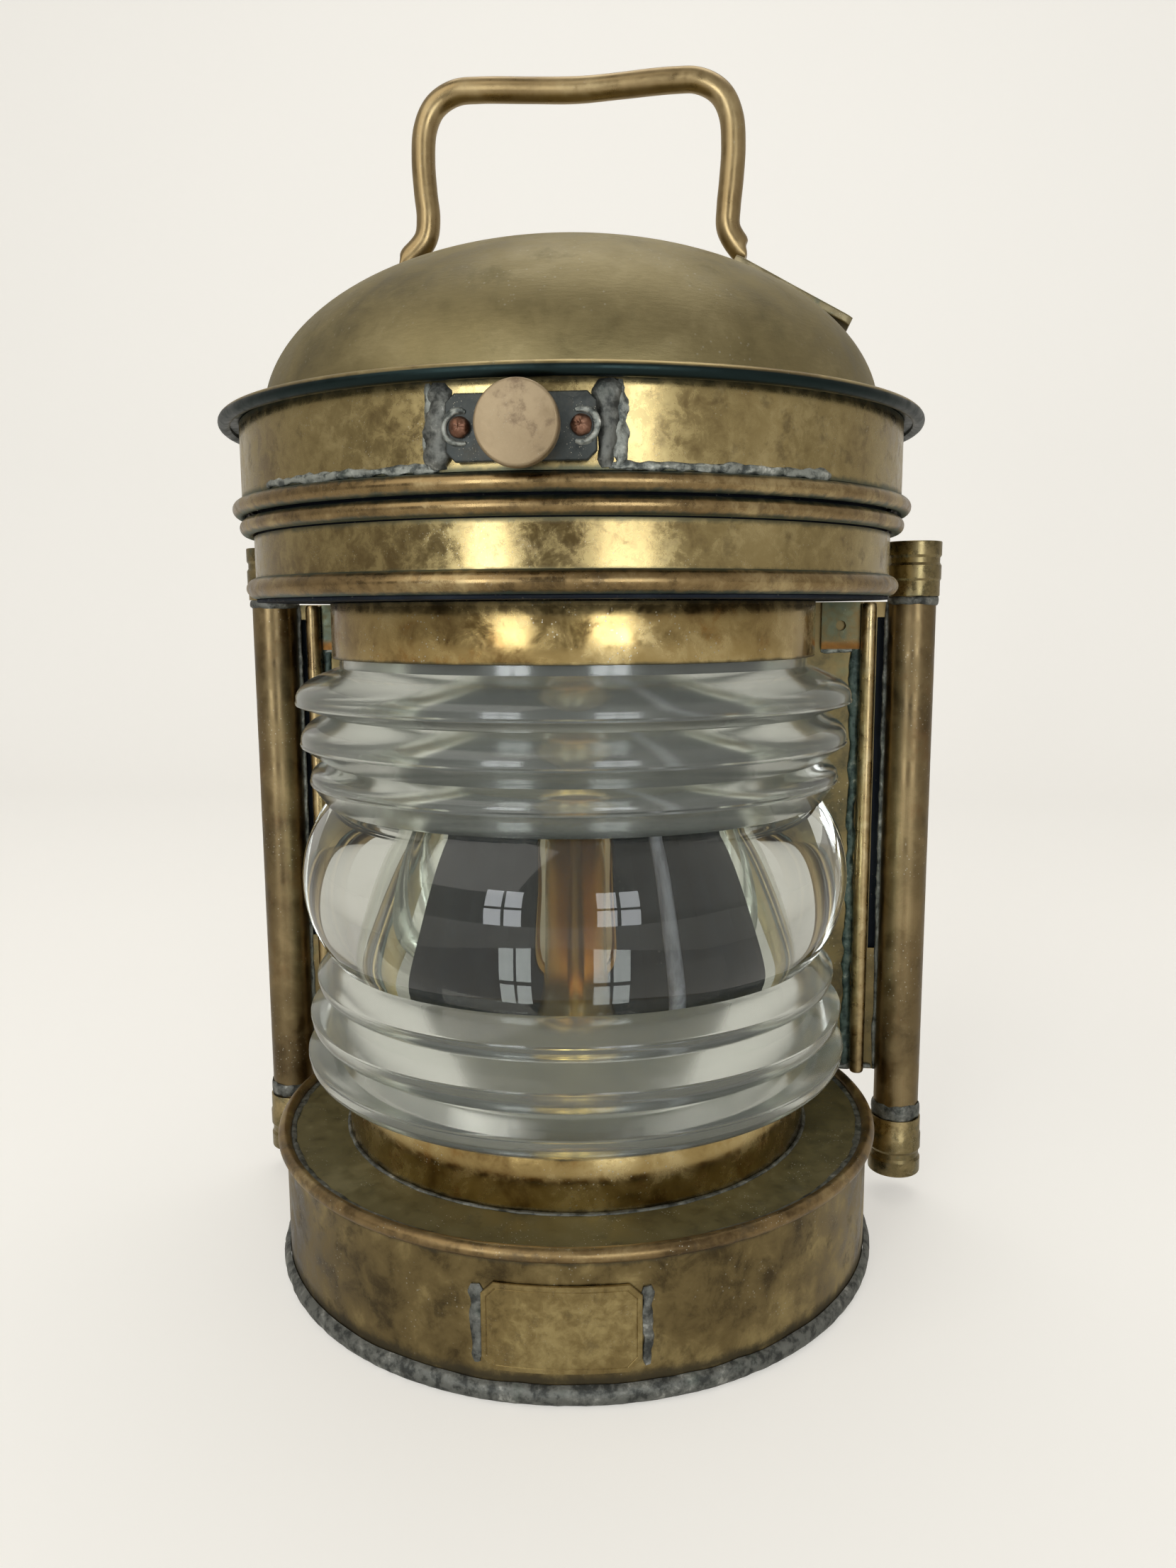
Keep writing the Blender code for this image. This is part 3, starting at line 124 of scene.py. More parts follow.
class Look(Nodes):
    """A Principled material on the piece's own coordinates."""

    def __init__(self, name, metallic=1.0):
        self.material = bpy.data.materials.new(name)
        self.material.use_nodes = True
        super().__init__(self.material.node_tree)
        self.shader = self.tree.nodes["Principled BSDF"]
        self.shader.inputs["Metallic"].default_value = metallic
        self.coords = self.node("ShaderNodeTexCoord").outputs["Object"]
        self.x, self.y, self.z = self.node("ShaderNodeSeparateXYZ", Vector=self.coords).outputs

    def polar(self, around=1.0, up=1.0, out=1.0, centre=(0, 0)):
        """Coordinates unrolled round a vertical axis: arc, height and radius, each scaled."""
        x, y = self.minus(self.x, centre[0]), self.minus(self.y, centre[1])
        turn = self.math("ARCTAN2", x, self.both(y, -1.0))
        r = self.math("SQRT", self.add(self.both(x, x), self.both(y, y)))
        parts = self.both(turn, around), self.both(self.z, up), self.both(r, out)
        return self.node("ShaderNodeCombineXYZ", _0=parts[0], _1=parts[1], _2=parts[2]).outputs[0]

    def shifted(self, shift):
        return self.node("ShaderNodeMapping", Vector=self.coords, Location=shift).outputs[0]

    def noise(self, scale, vector=None, detail=3.0, rough=0.55, distort=0.0):
        made = self.node("ShaderNodeTexNoise", Vector=vector or self.coords, Scale=scale, Detail=detail,
                         Roughness=rough, Distortion=distort)
        return made.outputs["Fac"]

    def cells(self, scale):
        return self.node("ShaderNodeTexVoronoi", Vector=self.coords, Scale=scale).outputs["Distance"]

    def bump(self, height, distance, below=None):
        made = self.node("ShaderNodeBump", Strength=1.0, Distance=distance, Height=height)
        if below is not None:
            self.feed(made.inputs["Normal"], below)
        return made.outputs["Normal"]

    def set(self, **values):
        for key, value in values.items():
            self.feed(self.shader.inputs[key.replace("_", " ")], value)


SPECK = (0.55, 0.52, 0.42)


def edge_grime_and_shade(look, edges, fine):
    """Ragged mask of grime and painted shade at each (height, width) edge, where the parts meet."""
    grime_and_shade_mask = None
    for height, width in edges:
        away = look.math("ABSOLUTE", look.minus(look.z, height))
        mask = look.band(look.add(away, look.both(look.minus(fine, 0.5), width * 1.6)), width, 0.0)
        grime_and_shade_mask = mask if grime_and_shade_mask is None else look.math("MAXIMUM", grime_and_shade_mask, mask)
    return grime_and_shade_mask


def metal(name, tones, rough=(0.2, 0.45), patch=28.0, mottle=110.0, stain=(0.10, 0.07, 0.04), stained=0.5,
          specked=0.12, waves=0.00006, grain=None, centre=(0, 0), edges=(), edge_grime_and_shade_colour=(0.03, 0.05, 0.05),
          streak=0.0, metallic=1.0, grit=0.00002, under=None):
    """Old metal in three tones, with patches, stains, pale specks and dents; grime and painted shade along edges, and
    painted shade on faces that turn downwards.
    """
    look = Look(name, metallic)
    deep, base, bright = tones
    broad = look.noise(patch, detail=2.0)
    fine = look.noise(mottle, detail=9.0, rough=0.68, distort=0.35)
    tone = look.add(look.both(broad, 0.55), look.both(fine, 0.45))
    colour = look.mix(look.band(tone, 0.36, 0.52), deep, base)
    colour = look.mix(look.band(tone, 0.50, 0.66), colour, bright)
    if streak:
        lines = look.noise(1.0, look.polar(around=streak, up=14.0, centre=centre), detail=6.0, rough=0.65)
        colour = look.mix(look.band(lines, 0.46, 0.66, 0.0, 0.75), colour, stain)
    spots = look.band(look.noise(mottle * 0.6, look.shifted((3.1, 1.7, 0.4)), detail=7.0, rough=0.7), 0.53, 0.70)
    colour = look.mix(look.both(spots, stained), colour, stain)
    cloud = look.band(look.noise(mottle * 0.5, look.shifted((7.0, 2.0, 5.0)), detail=2.0), 0.50, 0.62)
    dots = look.both(look.both(look.band(look.cells(mottle * 5.5), 0.20, 0.10), cloud), specked * 4.0)
    colour = look.mix(dots, colour, SPECK)
    roughness = look.add(look.blend(look.band(fine, 0.35, 0.65), *rough), look.both(spots, 0.10))
    # Edge colour: grime, and painted shade where the parts meet.
    if edges:
        grime_and_shade_mask = edge_grime_and_shade(look, edges, fine)
        colour = look.mix(look.both(grime_and_shade_mask, 0.85), colour, edge_grime_and_shade_colour)
        roughness = look.add(roughness, look.both(grime_and_shade_mask, 0.25))
    roughness = look.math("ADD", roughness, look.both(dots, 0.2), clamp=True)
    normal = look.bump(fine, grit, look.bump(look.noise(22.0, detail=1.0), waves * 10))
    if grain:
        around, up, depth = grain
        hair = look.noise(1.0, look.polar(around, up, up, centre), detail=4.0, rough=0.7)
        normal = look.bump(hair, depth, normal)
        colour = look.mix(look.band(hair, 0.35, 0.65, 0.0, 0.22), colour, deep)
    # Painted shade: faces that turn downwards take the dark under colour.
    if under:
        facing = look.node("ShaderNodeTexCoord").outputs["Normal"]
        upwards = look.node("ShaderNodeSeparateXYZ", Vector=facing).outputs[2]
        colour = look.mix(look.node("ShaderNodeMapRange", _0=upwards, _1=0.62, _2=0.28).outputs[0], colour, under)
    look.set(Base_Color=colour, Roughness=roughness, Normal=normal)
    return look.material


def lead_look(name, tones, scale=300.0):
    """Dull grey solder with pale oxide on its high places and blue-green in its hollows."""
    look = Look(name, 0.55)
    deep, base, pale = tones
    lumps = look.noise(scale, detail=6.0, rough=0.62)
    wide = look.noise(scale * 0.22, detail=3.0)
    colour = look.mix(look.band(lumps, 0.36, 0.56), deep, base)
    colour = look.mix(look.both(look.band(lumps, 0.54, 0.70), look.band(wide, 0.38, 0.62)), colour, pale)
    green = look.band(look.noise(scale * 0.4, look.shifted((0.7, 4.0, 2.0)), detail=4.0), 0.55, 0.72)
    colour = look.mix(look.both(green, 0.35), colour, (0.095, 0.125, 0.10))
    look.set(Base_Color=colour, Roughness=look.blend(lumps, 0.35, 0.65), Normal=look.bump(lumps, 0.0006))
    return look.material


def glass_look(name, tint, rough, waves=0.0, clear=None):
    """Smeared glass that lets light through to what it shades. Clear is (height, reach) of a band without haze."""
    look = Look(name, 0.0)
    smear = look.noise(30.0, detail=5.0, rough=0.6)
    haze = look.blend(look.band(smear, 0.45, 0.75), rough, rough + 0.05)
    clearness = 1.0
    if clear:
        height, span = clear
        ribbed = look.band(look.math("ABSOLUTE", look.minus(look.z, height)), span, span + 0.006)
        haze = look.blend(ribbed, 0.012, haze)
        clearness = look.blend(ribbed, 0.998, look.blend(smear, 0.955, 0.92))
    look.set(Base_Color=tint, Roughness=haze, IOR=1.5, Transmission_Weight=clearness)
    if waves:
        look.set(Normal=look.bump(look.noise(26.0, detail=1.0), waves))
    through = look.node("ShaderNodeBsdfTransparent", Color=tint).outputs[0]
    shadow = look.node("ShaderNodeLightPath").outputs["Is Shadow Ray"]
    join = look.node("ShaderNodeMixShader", _0=shadow, _1=look.shader.outputs[0], _2=through)
    look.feed(look.tree.nodes["Material Output"].inputs["Surface"], join.outputs[0])
    return look.material


def plain_look(name, colour, second, rough, scale=120.0, metallic=0.0, relief=0.0002):
    look = Look(name, metallic)
    grain = look.noise(scale, detail=6.0, rough=0.6)
    look.set(Base_Color=look.mix(look.band(grain, 0.35, 0.65), colour, second),
             Roughness=look.blend(grain, rough, rough + 0.15), Normal=look.bump(grain, relief))
    return look.material


# ---------------------------------------------------------------- shapes


def link_object(name, data):
    item = bpy.data.objects.new(name, data)
    bpy.context.scene.collection.objects.link(item)
    return item


def to_mesh(name, shape):
    mesh = bpy.data.meshes.new(name)
    shape.to_mesh(mesh)
    shape.free()
    return mesh


def add_piece(name, shape, body, material, nodes=(), sharp=35.0):
    """Make a piece that rides on a body and stands for the given CAD nodes."""
    bmesh.ops.recalc_face_normals(shape, faces=shape.faces)
    mesh = to_mesh(name, shape)
    mesh.shade_smooth()
    mesh.set_sharp_from_angle(angle=radians(sharp))
    mesh.materials.append(material)
    piece = link_object(name, mesh)
    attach(piece, body)
    if nodes:
        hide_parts(*nodes)
    return piece


def arc(centre, radius, first, last, steps):
    turns = [first + (last - first) * i / steps for i in range(steps + 1)]
    return [(centre[0] + radius * cos(t), centre[1] + radius * sin(t)) for t in turns]


def circle(radius, steps):
    return [(radius * cos(FULL_TURN * k / steps), radius * sin(FULL_TURN * k / steps)) for k in range(steps)]


def rows(radius, base, head, steps):
    """Outline points up a wall at equal steps."""
    return [(radius, base + (head - base) * i / steps) for i in range(steps + 1)]


def rounded(outline, radius, steps=3):
    """Round the corners of a closed outline, where its angle is sharp."""
    done = []
    count = len(outline)
    for i in range(count):
        here = Vector(outline[i])
        before, after = Vector(outline[i - 1]) - here, Vector(outline[(i + 1) % count]) - here
        if before.length < 1e-7 or after.length < 1e-7 or before.angle(after) > radians(150):
            done.append(tuple(here))
            continue
        take = min(radius, before.length * 0.45, after.length * 0.45)
        a, b = here + before.normalized() * take, here + after.normalized() * take
        for k in range(steps + 1):
            t = k / steps
            done.append(tuple(a * (1 - t) ** 2 + here * 2 * t * (1 - t) + b * t * t))
    return done


def turned(outline, first=0.0, sweep=FULL_TURN, steps=RING_STEPS, warp=None, centre=(0, 0)):
    """Spin a closed outline of (radius, height) points about a vertical axis."""
    shape = bmesh.new()
    whole = sweep >= FULL_TURN
    rings = []
    for i in range(steps if whole else steps + 1):
        turn = first + sweep * i / steps
        ring = []
        for r, z in outline:
            if warp:
                r, z = warp(turn, r, z)
            ring.append(shape.verts.new((centre[0] + r * sin(turn), centre[1] - r * cos(turn), z)))
        rings.append(ring)
    count = len(outline)
    for i in range(steps):
        one, two = rings[i], rings[(i + 1) % len(rings)]
        for k in range(count):
            m = (k + 1) % count
            if abs(outline[k][0]) < 1e-9 and abs(outline[m][0]) < 1e-9:
                continue
            shape.faces.new((one[k], two[k], two[m], one[m]))
    if not whole:
        shape.faces.new(rings[0])
        shape.faces.new(rings[-1])
    if any(abs(r) < 1e-9 for r, z in outline):
        bmesh.ops.remove_doubles(shape, verts=shape.verts, dist=1e-7)
    return shape


def upright(shape, place, axis):
    """Lay a shape that was turned about Z along another axis, at a place."""
    turn = Vector((0, 0, 1)).rotation_difference(Vector(axis)).to_matrix().to_4x4()
    bmesh.ops.transform(shape, matrix=Matrix.Translation(place) @ turn, verts=shape.verts)
    return shape


def sweep(route, section, caps=True, closed=False):
    """Skin sections along a route of (point, across, out) frames. section(i) gives (across, out) points."""
    shape = bmesh.new()
    rings = []
    for i, (point, across, out) in enumerate(route):
        rings.append([shape.verts.new(point + across * a + out * b) for a, b in section(i)])
    count = len(rings[0])
    pairs = list(zip(rings, rings[1:])) + ([(rings[-1], rings[0])] if closed else [])
    for one, two in pairs:
        for k in range(count):
            m = (k + 1) % count
            shape.faces.new((one[k], two[k], two[m], one[m]))
    if caps and not closed:
        shape.faces.new(rings[0])
        shape.faces.new(rings[-1])
    return shape


def frames(points, out=None):
    """Frames along points: each with an across and an out direction."""
    route = []
    last = None
    for i, point in enumerate(points):
        ahead = (points[min(i + 1, len(points) - 1)] - points[max(i - 1, 0)]).normalized()
        guide = out(point) if out else last or Vector((0, 1, 0))
        across = ahead.cross(guide).normalized()
        up = across.cross(ahead).normalized()
        last = up
        route.append((point, across, up))
    return route


def curve_points(points, steps):
    """Catmull-Rom curve through the points."""
    padded = [points[0] * 2 - points[1]] + points + [points[-1] * 2 - points[-2]]
    result = []
    for i in range(1, len(padded) - 2):
        a, b, c, d = padded[i - 1:i + 3]
        for k in range(steps):
            t = k / steps
            bend = (a * 2 - b * 5 + c * 4 - d) * t ** 2 + (b * 3 - a - c * 3 + d) * t ** 3
            result.append((b * 2 + (c - a) * t + bend) / 2)
    return result + [points[-1]]


def lumpy(point, scale, seed):
    return noise.noise(point * scale + Vector((seed, seed * 1.7, -seed)))


def solder_run(name, points, out, width, height, seed, material=None, body="lantern", closed=False, rough=0.35):
    """A raised, uneven run of solder along points, lying on a surface that faces out(point)."""
    sides, grain, sunk = 7, 260.0, 0.25
    route = frames(points, out)
    total = len(route)

    def section(i):
        point = route[i][0]
        near = 1.0 if closed else min(1.0, 0.62 + 0.19 * min(i, total - 1 - i))
        wide = width * near * (1 + rough * 0.8 * lumpy(point, 70.0, seed))
        tall = height * near * (1 + rough * lumpy(point, 120.0, seed + 3))
        ring = []
        for k in range(sides + 1):
            turn = pi * k / sides
            swell = 1 + rough * lumpy(point + Vector((0, 0, turn * 0.004)), grain, seed + 5)
            ring.append((wide * cos(turn) * swell, max(0.0, tall * sin(turn) * swell)))
        return ring + [(-wide * 0.6, -height * sunk), (wide * 0.6, -height * sunk)]

    add_piece(name, sweep(route, section, closed=closed), body, material or lead, sharp=60.0)


def ring_points(radius, z, first=0.0, last=FULL_TURN, steps=240, centre=(0, 0)):
    whole = last - first >= FULL_TURN
    turns = [first + (last - first) * i / steps for i in range(steps if whole else steps + 1)]
    return [Vector((centre[0] + radius * sin(t), centre[1] - radius * cos(t), z)) for t in turns]


def upwards(point):
    return Vector((0, 0, 1))


def forwards(point):
    return Vector((0, -1, 0))


def outwards(point):
    return Vector((point.x, point.y, 0)).normalized()


def wear(node, material, bevel=0.0):
    """Give a solid that stays its material, and soften its edges."""
    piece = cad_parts[node]
    piece.data.materials.clear()
    piece.data.materials.append(material)
    if bevel:
        made = piece.modifiers.new("soft_edges", "BEVEL")
        made.width, made.segments, made.limit_method, made.angle_limit = bevel, 2, "ANGLE", radians(50)
        made.harden_normals = False


# ---------------------------------------------------------------- the looks used

VERDIGRIS = (0.085, 0.13, 0.115)
BAND_TONES = ((0.25, 0.18, 0.08), (0.40, 0.31, 0.14), (0.54, 0.435, 0.215))
BEAD_TONES = ((0.13, 0.088, 0.042), (0.29, 0.20, 0.092), (0.53, 0.41, 0.21))
TUBE_TONES = ((0.10, 0.08, 0.045), (0.20, 0.155, 0.08), (0.31, 0.24, 0.125))

tube_low, tube_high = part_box("guide_tube_right")
tube_x, tube_y = (tube_low.x + tube_high.x) / 2, (tube_low.y + tube_high.y) / 2


def tube_look(side, x):
    return metal("tube_look_" + side, TUBE_TONES, rough=(0.28, 0.5), streak=420.0, stain=(0.22, 0.12, 0.05),
                 stained=0.35, specked=0.15, centre=(x, tube_y))


# The bands' dark edge colours are grime with painted shade under the brim and where the beads meet them.
hood_band_look = metal("hood_band_look", BAND_TONES, rough=(0.16, 0.34), patch=18.0, mottle=190.0, specked=0.2,
    edges=((low("hood_band"), 0.0022), (top("hood_band"), 0.0026)), edge_grime_and_shade_colour=(0.09, 0.11, 0.08))
head_band_look = metal("head_band_look", BAND_TONES, rough=(0.13, 0.32), patch=18.0, mottle=190.0, stained=0.45,
    specked=0.15, edges=((low("head_band") + 0.006, 0.0016), (top("head_band"), 0.0018)),
    edge_grime_and_shade_colour=(0.11, 0.11, 0.07))
# The collars' dark edge colour is painted shade under the head deck and along the seals and deck, with grime.
collar_look = metal("collar_look", ((0.20, 0.125, 0.045), (0.42, 0.305, 0.125), (0.62, 0.485, 0.235)),
    rough=(0.12, 0.30), stain=(0.30, 0.14, 0.03), stained=0.6, specked=0.2, edges=((low("upper_collar"),
    0.0012), (top("upper_collar"), 0.002), (low("lower_collar"), 0.0012), (top("lower_collar"), 0.0012)),
    edge_grime_and_shade_colour=(0.06, 0.06, 0.04))
bead_look = metal("bead_look", BEAD_TONES, rough=(0.20, 0.40), specked=0.1, mottle=200.0, edge_grime_and_shade_colour=VERDIGRIS,
    edges=((low("head_lower_bead"), 0.0012), (top("head_lower_bead"), 0.0012), (low("head_upper_bead"), 0.0013),
    (top("head_upper_bead"), 0.0016), (low("hood_bead"), 0.0013), (top("hood_bead"), 0.0014)))
rim_look = metal("rim_look", BEAD_TONES, rough=(0.30, 0.5), stained=0.6, stain=(0.10, 0.085, 0.06), specked=0.2,
    mottle=150.0)
# The under colour paints shade on the brim's lip and underside.
brim_look = metal("brim_look", BAND_TONES, rough=(0.3, 0.46), stained=0.4, stain=(0.16, 0.13, 0.09),
    specked=0.15, mottle=150.0, under=(0.018, 0.030, 0.030))
dome_look = metal("dome_look", ((0.20, 0.165, 0.08), (0.29, 0.24, 0.12), (0.37, 0.31, 0.165)),
    rough=(0.44, 0.58), stained=0.3, stain=(0.15, 0.14, 0.08), specked=0.10, grain=(26.0, 900.0, 0.00008),
    mottle=80.0)
# The drum's dark edge colour is grime with painted shade at the foot bead and the deck.
drum_look = metal("drum_look", ((0.085, 0.062, 0.03), (0.215, 0.16, 0.07), (0.40, 0.31, 0.14)),
    rough=(0.26, 0.46), stained=0.75, stain=(0.06, 0.045, 0.025), edges=((low("base_drum") + 0.006, 0.004),
    (top("base_drum"), 0.002)), edge_grime_and_shade_colour=(0.07, 0.06, 0.04))
deck_look = metal("deck_look", ((0.13, 0.115, 0.055), (0.21, 0.18, 0.085), (0.29, 0.255, 0.135)),
    rough=(0.5, 0.68), stained=0.4, stain=(0.10, 0.10, 0.07), specked=0.3, metallic=0.75, mottle=140.0)
tube_look_right, tube_look_left = tube_look("right", tube_x), tube_look("left", -tube_x)
cap_look = metal("cap_look", ((0.12, 0.10, 0.05), (0.27, 0.215, 0.105), (0.46, 0.355, 0.18)),
    rough=(0.22, 0.42), stained=0.6, stain=VERDIGRIS, specked=0.2, mottle=260.0)
plate_look = metal("plate_look", ((0.07, 0.06, 0.035), (0.17, 0.13, 0.06), (0.29, 0.215, 0.10)),
    rough=(0.3, 0.52), stain=(0.13, 0.15, 0.09))
lug_look = metal("lug_look", ((0.055, 0.07, 0.058), (0.12, 0.125, 0.075), (0.24, 0.17, 0.075)),
    rough=(0.35, 0.55), stain=VERDIGRIS, specked=0.2, mottle=200.0, edges=((low("lens_lug_right") + 0.001,
    0.0034),), edge_grime_and_shade_colour=(0.42, 0.20, 0.055))
post_look = metal("post_look", ((0.20, 0.14, 0.07), (0.40, 0.30, 0.15), (0.58, 0.47, 0.27)), rough=(0.25, 0.42),
    stained=0.4, mottle=180.0)
handle_look = metal("handle_look", ((0.28, 0.20, 0.095), (0.38, 0.28, 0.14), (0.49, 0.38, 0.205)),
    rough=(0.26, 0.42), stained=0.18, specked=0.06, mottle=90.0)
strap_look = metal("strap_look", ((0.13, 0.13, 0.09), (0.25, 0.21, 0.12), (0.37, 0.32, 0.20)),
    rough=(0.34, 0.52), stain=VERDIGRIS, specked=0.2, mottle=220.0)
name_plate_look = metal("name_plate_look", ((0.14, 0.10, 0.045), (0.29, 0.215, 0.09), (0.44, 0.345, 0.155)),
    rough=(0.28, 0.46), stain=(0.16, 0.12, 0.06), mottle=260.0)
slate_look = metal("slate_look", ((0.022, 0.027, 0.027), (0.048, 0.055, 0.053), (0.11, 0.115, 0.105)),
    rough=(0.35, 0.6), stained=0.3, stain=(0.10, 0.08, 0.05), specked=0.2, mottle=260.0, metallic=0.6)
copper_look = metal("copper_look", ((0.07, 0.035, 0.025), (0.20, 0.10, 0.065), (0.38, 0.22, 0.15)),
    rough=(0.3, 0.5), stained=0.4, stain=(0.05, 0.05, 0.05), specked=0.2, mottle=420.0, waves=0.0, grit=0.00012)
knob_look = metal("knob_look", ((0.18, 0.13, 0.075), (0.31, 0.23, 0.135), (0.41, 0.315, 0.195)),
    rough=(0.42, 0.6), stained=0.6, stain=(0.15, 0.10, 0.065), specked=0.1, mottle=220.0, metallic=0.7)
inside_look = metal("inside_look", ((0.004, 0.006, 0.010), (0.010, 0.014, 0.022), (0.022, 0.028, 0.038)),
    rough=(0.55, 0.75), stained=0.3, stain=(0.02, 0.018, 0.014), specked=0.05, metallic=0.0)
inside_look.node_tree.nodes["Principled BSDF"].inputs["Specular IOR Level"].default_value = 0.12
holder_look = metal("holder_look", ((0.42, 0.27, 0.08), (0.78, 0.56, 0.20), (0.92, 0.74, 0.34)),
    rough=(0.10, 0.24), stained=0.2, specked=0.05)
lead = lead_look("lead_look", ((0.045, 0.048, 0.044), (0.17, 0.175, 0.158), (0.46, 0.46, 0.42)), 240.0)
pale_lead = lead_look("pale_lead_look", ((0.07, 0.08, 0.075), (0.33, 0.345, 0.31), (0.72, 0.72, 0.66)))
verdigris_lead = lead_look("verdigris_lead_look", ((0.02, 0.035, 0.033), (0.07, 0.10, 0.088), (0.40, 0.42, 0.36)))
lens_glass = glass_look("lens_glass", (0.90, 0.93, 0.87), 0.12, waves=0.00004, clear=(LENS_MIDDLE, 0.027))
bulb_glass = glass_look("bulb_glass_look", (1.0, 0.84, 0.52), 0.16)
rubber = plain_look("rubber_look", (0.012, 0.012, 0.013), (0.03, 0.03, 0.03), 0.6)
porcelain = plain_look("porcelain_look", (0.62, 0.59, 0.52), (0.78, 0.76, 0.70), 0.22, relief=0.00005)
cable_look = plain_look("cable_look", (0.10, 0.10, 0.13), (0.19, 0.19, 0.24), 0.45, scale=300.0)
filament = plain_look("filament_look", (0.30, 0.29, 0.27), (0.5, 0.48, 0.45), 0.3, metallic=1.0)


# ---------------------------------------------------------------- base


def add_wire(node, name, body, material):
    """Round wire ring in place of the solids' six-sided one."""
    wire = (top(node) - low(node)) / 2
    centre = (reach(node) - wire * cos(pi / 6), (top(node) + low(node)) / 2)
    add_piece(name, turned(arc(centre, wire, 0, FULL_TURN * 23 / 24, 23)), body, material, [node], 60)


def clipped_plate(half, tall, clip, levels):
    """An eight-cornered plate, stacked from (inset, depth) levels towards -Y."""
    shape = bmesh.new()
    rings = []
    for inset, depth in levels:
        a, b, c = half - inset, tall - inset, clip - inset * (2 - sqrt(2))
        corners = [(c - a, -b), (a - c, -b), (a, c - b), (a, b - c), (a - c, b), (c - a, b), (-a, b - c), (-a, c - b)]
        rings.append([shape.verts.new((x, -depth, z)) for x, z in corners])
    for one, two in zip(rings, rings[1:]):
        for k in range(8):
            shape.faces.new((one[k], one[(k + 1) % 8], two[(k + 1) % 8], two[k]))
    shape.faces.new(rings[0])
    shape.faces.new(rings[-1])
    return shape


def band_skin(name, node, body, material, steps=6):
    """The sheet of a drum or band, with rows of points up its face."""
    r, (z0, z1) = reach(node), span(node)
    outline = rows(r, z0, z1, steps) + [(r - SHEET, z1), (r - SHEET, z0)]
    return add_piece(name, turned(outline), body, material, [node])


def half_bead(seat, bulge, z0, z1, steps, fullness):
    """Outline of a bead that bulges from a wall at the seat radius."""
    shares = [i / steps for i in range(1, steps)]
    middle = [(seat + bulge * max(0, sin(pi * t)) ** fullness, z0 + (z1 - z0) * t) for t in shares]
    return [(seat, z0)] + middle + [(seat, z1)]


def build_base():
    band_skin("drum_skin", "base_drum", "lantern", drum_look, 10)
    drum_r = reach("base_drum")
    seat, height = drum_r + GAP, top("base_foot_bead")

    def slump(turn, r, z):
        spot = Vector((sin(turn), -cos(turn), 0)) * 0.11
        if z > 0.0004:
            z = z - abs(lumpy(spot, 45.0, 2.0)) * 0.0010 * min(1, z / height)
            r = r - abs(lumpy(spot + Vector((0, 0, z)), 190.0, 5.0)) * 0.0006 * (r > drum_r + 0.0006)
        return r, z

    bead = half_bead(seat, reach("base_foot_bead") - seat, 0.0, height, 14, 0.5)
    add_piece("foot_solder_bead", turned(bead, steps=320, warp=slump), "lantern", lead, ["base_foot_bead"], 60)
    add_wire("base_rim_bead", "rim_wire_bead", "lantern", rim_look)

    edge, foot, deck_z = reach("base_deck"), low("base_deck"), top("base_deck")
    lid = [(0, deck_z - SHEET), (edge - SHEET, deck_z - SHEET), (edge - SHEET, foot), (edge, foot), (edge, deck_z),
           (edge * 0.75, deck_z), (edge * 0.5, deck_z), (0, deck_z)]
    add_piece("deck_lid", turned(lid), "lantern", deck_look, ["base_deck"])
    solder_run("deck_edge_solder", ring_points(edge - 0.0005, deck_z), upwards, 0.0013, 0.00045, 1.0,
               closed=True, rough=0.5)
    solder_run("collar_foot_solder", ring_points(reach("lower_collar") + 0.0005, deck_z), upwards, 0.0008, 0.0006, 9.0,
               closed=True, rough=0.4)
    build_name_plate(drum_r)


def build_name_plate(drum_r):
    """Bare plate with clipped corners, a fine engraved border and solder at both sides."""
    z0, z1 = span("name_plate")
    middle, tall = (z0 + z1) / 2, (z1 - z0) / 2
    turn0, half, clip, thick = radians(4), 0.025, 0.004, 0.0008
    engraved = thick * 0.78
    levels = ((0, 0.0), (0, thick * 0.6), (0.0002, thick * 0.95), (0.0009, thick), (0.0016, thick), (0.00175, engraved),
              (0.0019, engraved), (0.00205, thick))
    shape = clipped_plate(half, tall, clip, levels)
    for i in range(1, 24):
        whole = list(shape.verts) + list(shape.edges) + list(shape.faces)
        bmesh.ops.bisect_plane(shape, geom=whole, plane_co=(half * (i / 12 - 1), 0, 0), plane_no=(1, 0, 0))
    for vert in shape.verts:
        x, y, z = vert.co
        r, turn = drum_r + GAP - y, x / drum_r + turn0
        vert.co = (r * sin(turn), -r * cos(turn), middle + z)
    add_piece("name_plate_bare", shape, "lantern", name_plate_look, ["name_plate"], 20)
    seat = drum_r + 0.0002
    for side, sign in SIDES:
        points = []
        for i in range(25):
            waver = 0.0005 * lumpy(Vector((0, 0, i * 0.001)), 260.0, sign)
            turn = turn0 + (sign * (half + 0.0016) + waver) / drum_r
            points.append(Vector((seat * sin(turn), -seat * cos(turn), middle + (tall - 0.0015) * (i / 12 - 1))))
        solder_run("plate_solder_" + side, points, outwards, 0.0019, 0.0009, 4.0 + sign, rough=0.55)


# ---------------------------------------------------------------- lens and collars


def parabola(a, through, c, steps):
    """Points from a to c on a parabola that passes the middle point."""
    b = (Vector(through) - (Vector(a) + Vector(c)) / 4) * 2
    shares = [i / steps for i in range(1, steps + 1)]
    return [tuple(Vector(a) * (1 - t) ** 2 + b * 2 * t * (1 - t) + Vector(c) * t * t) for t in shares]


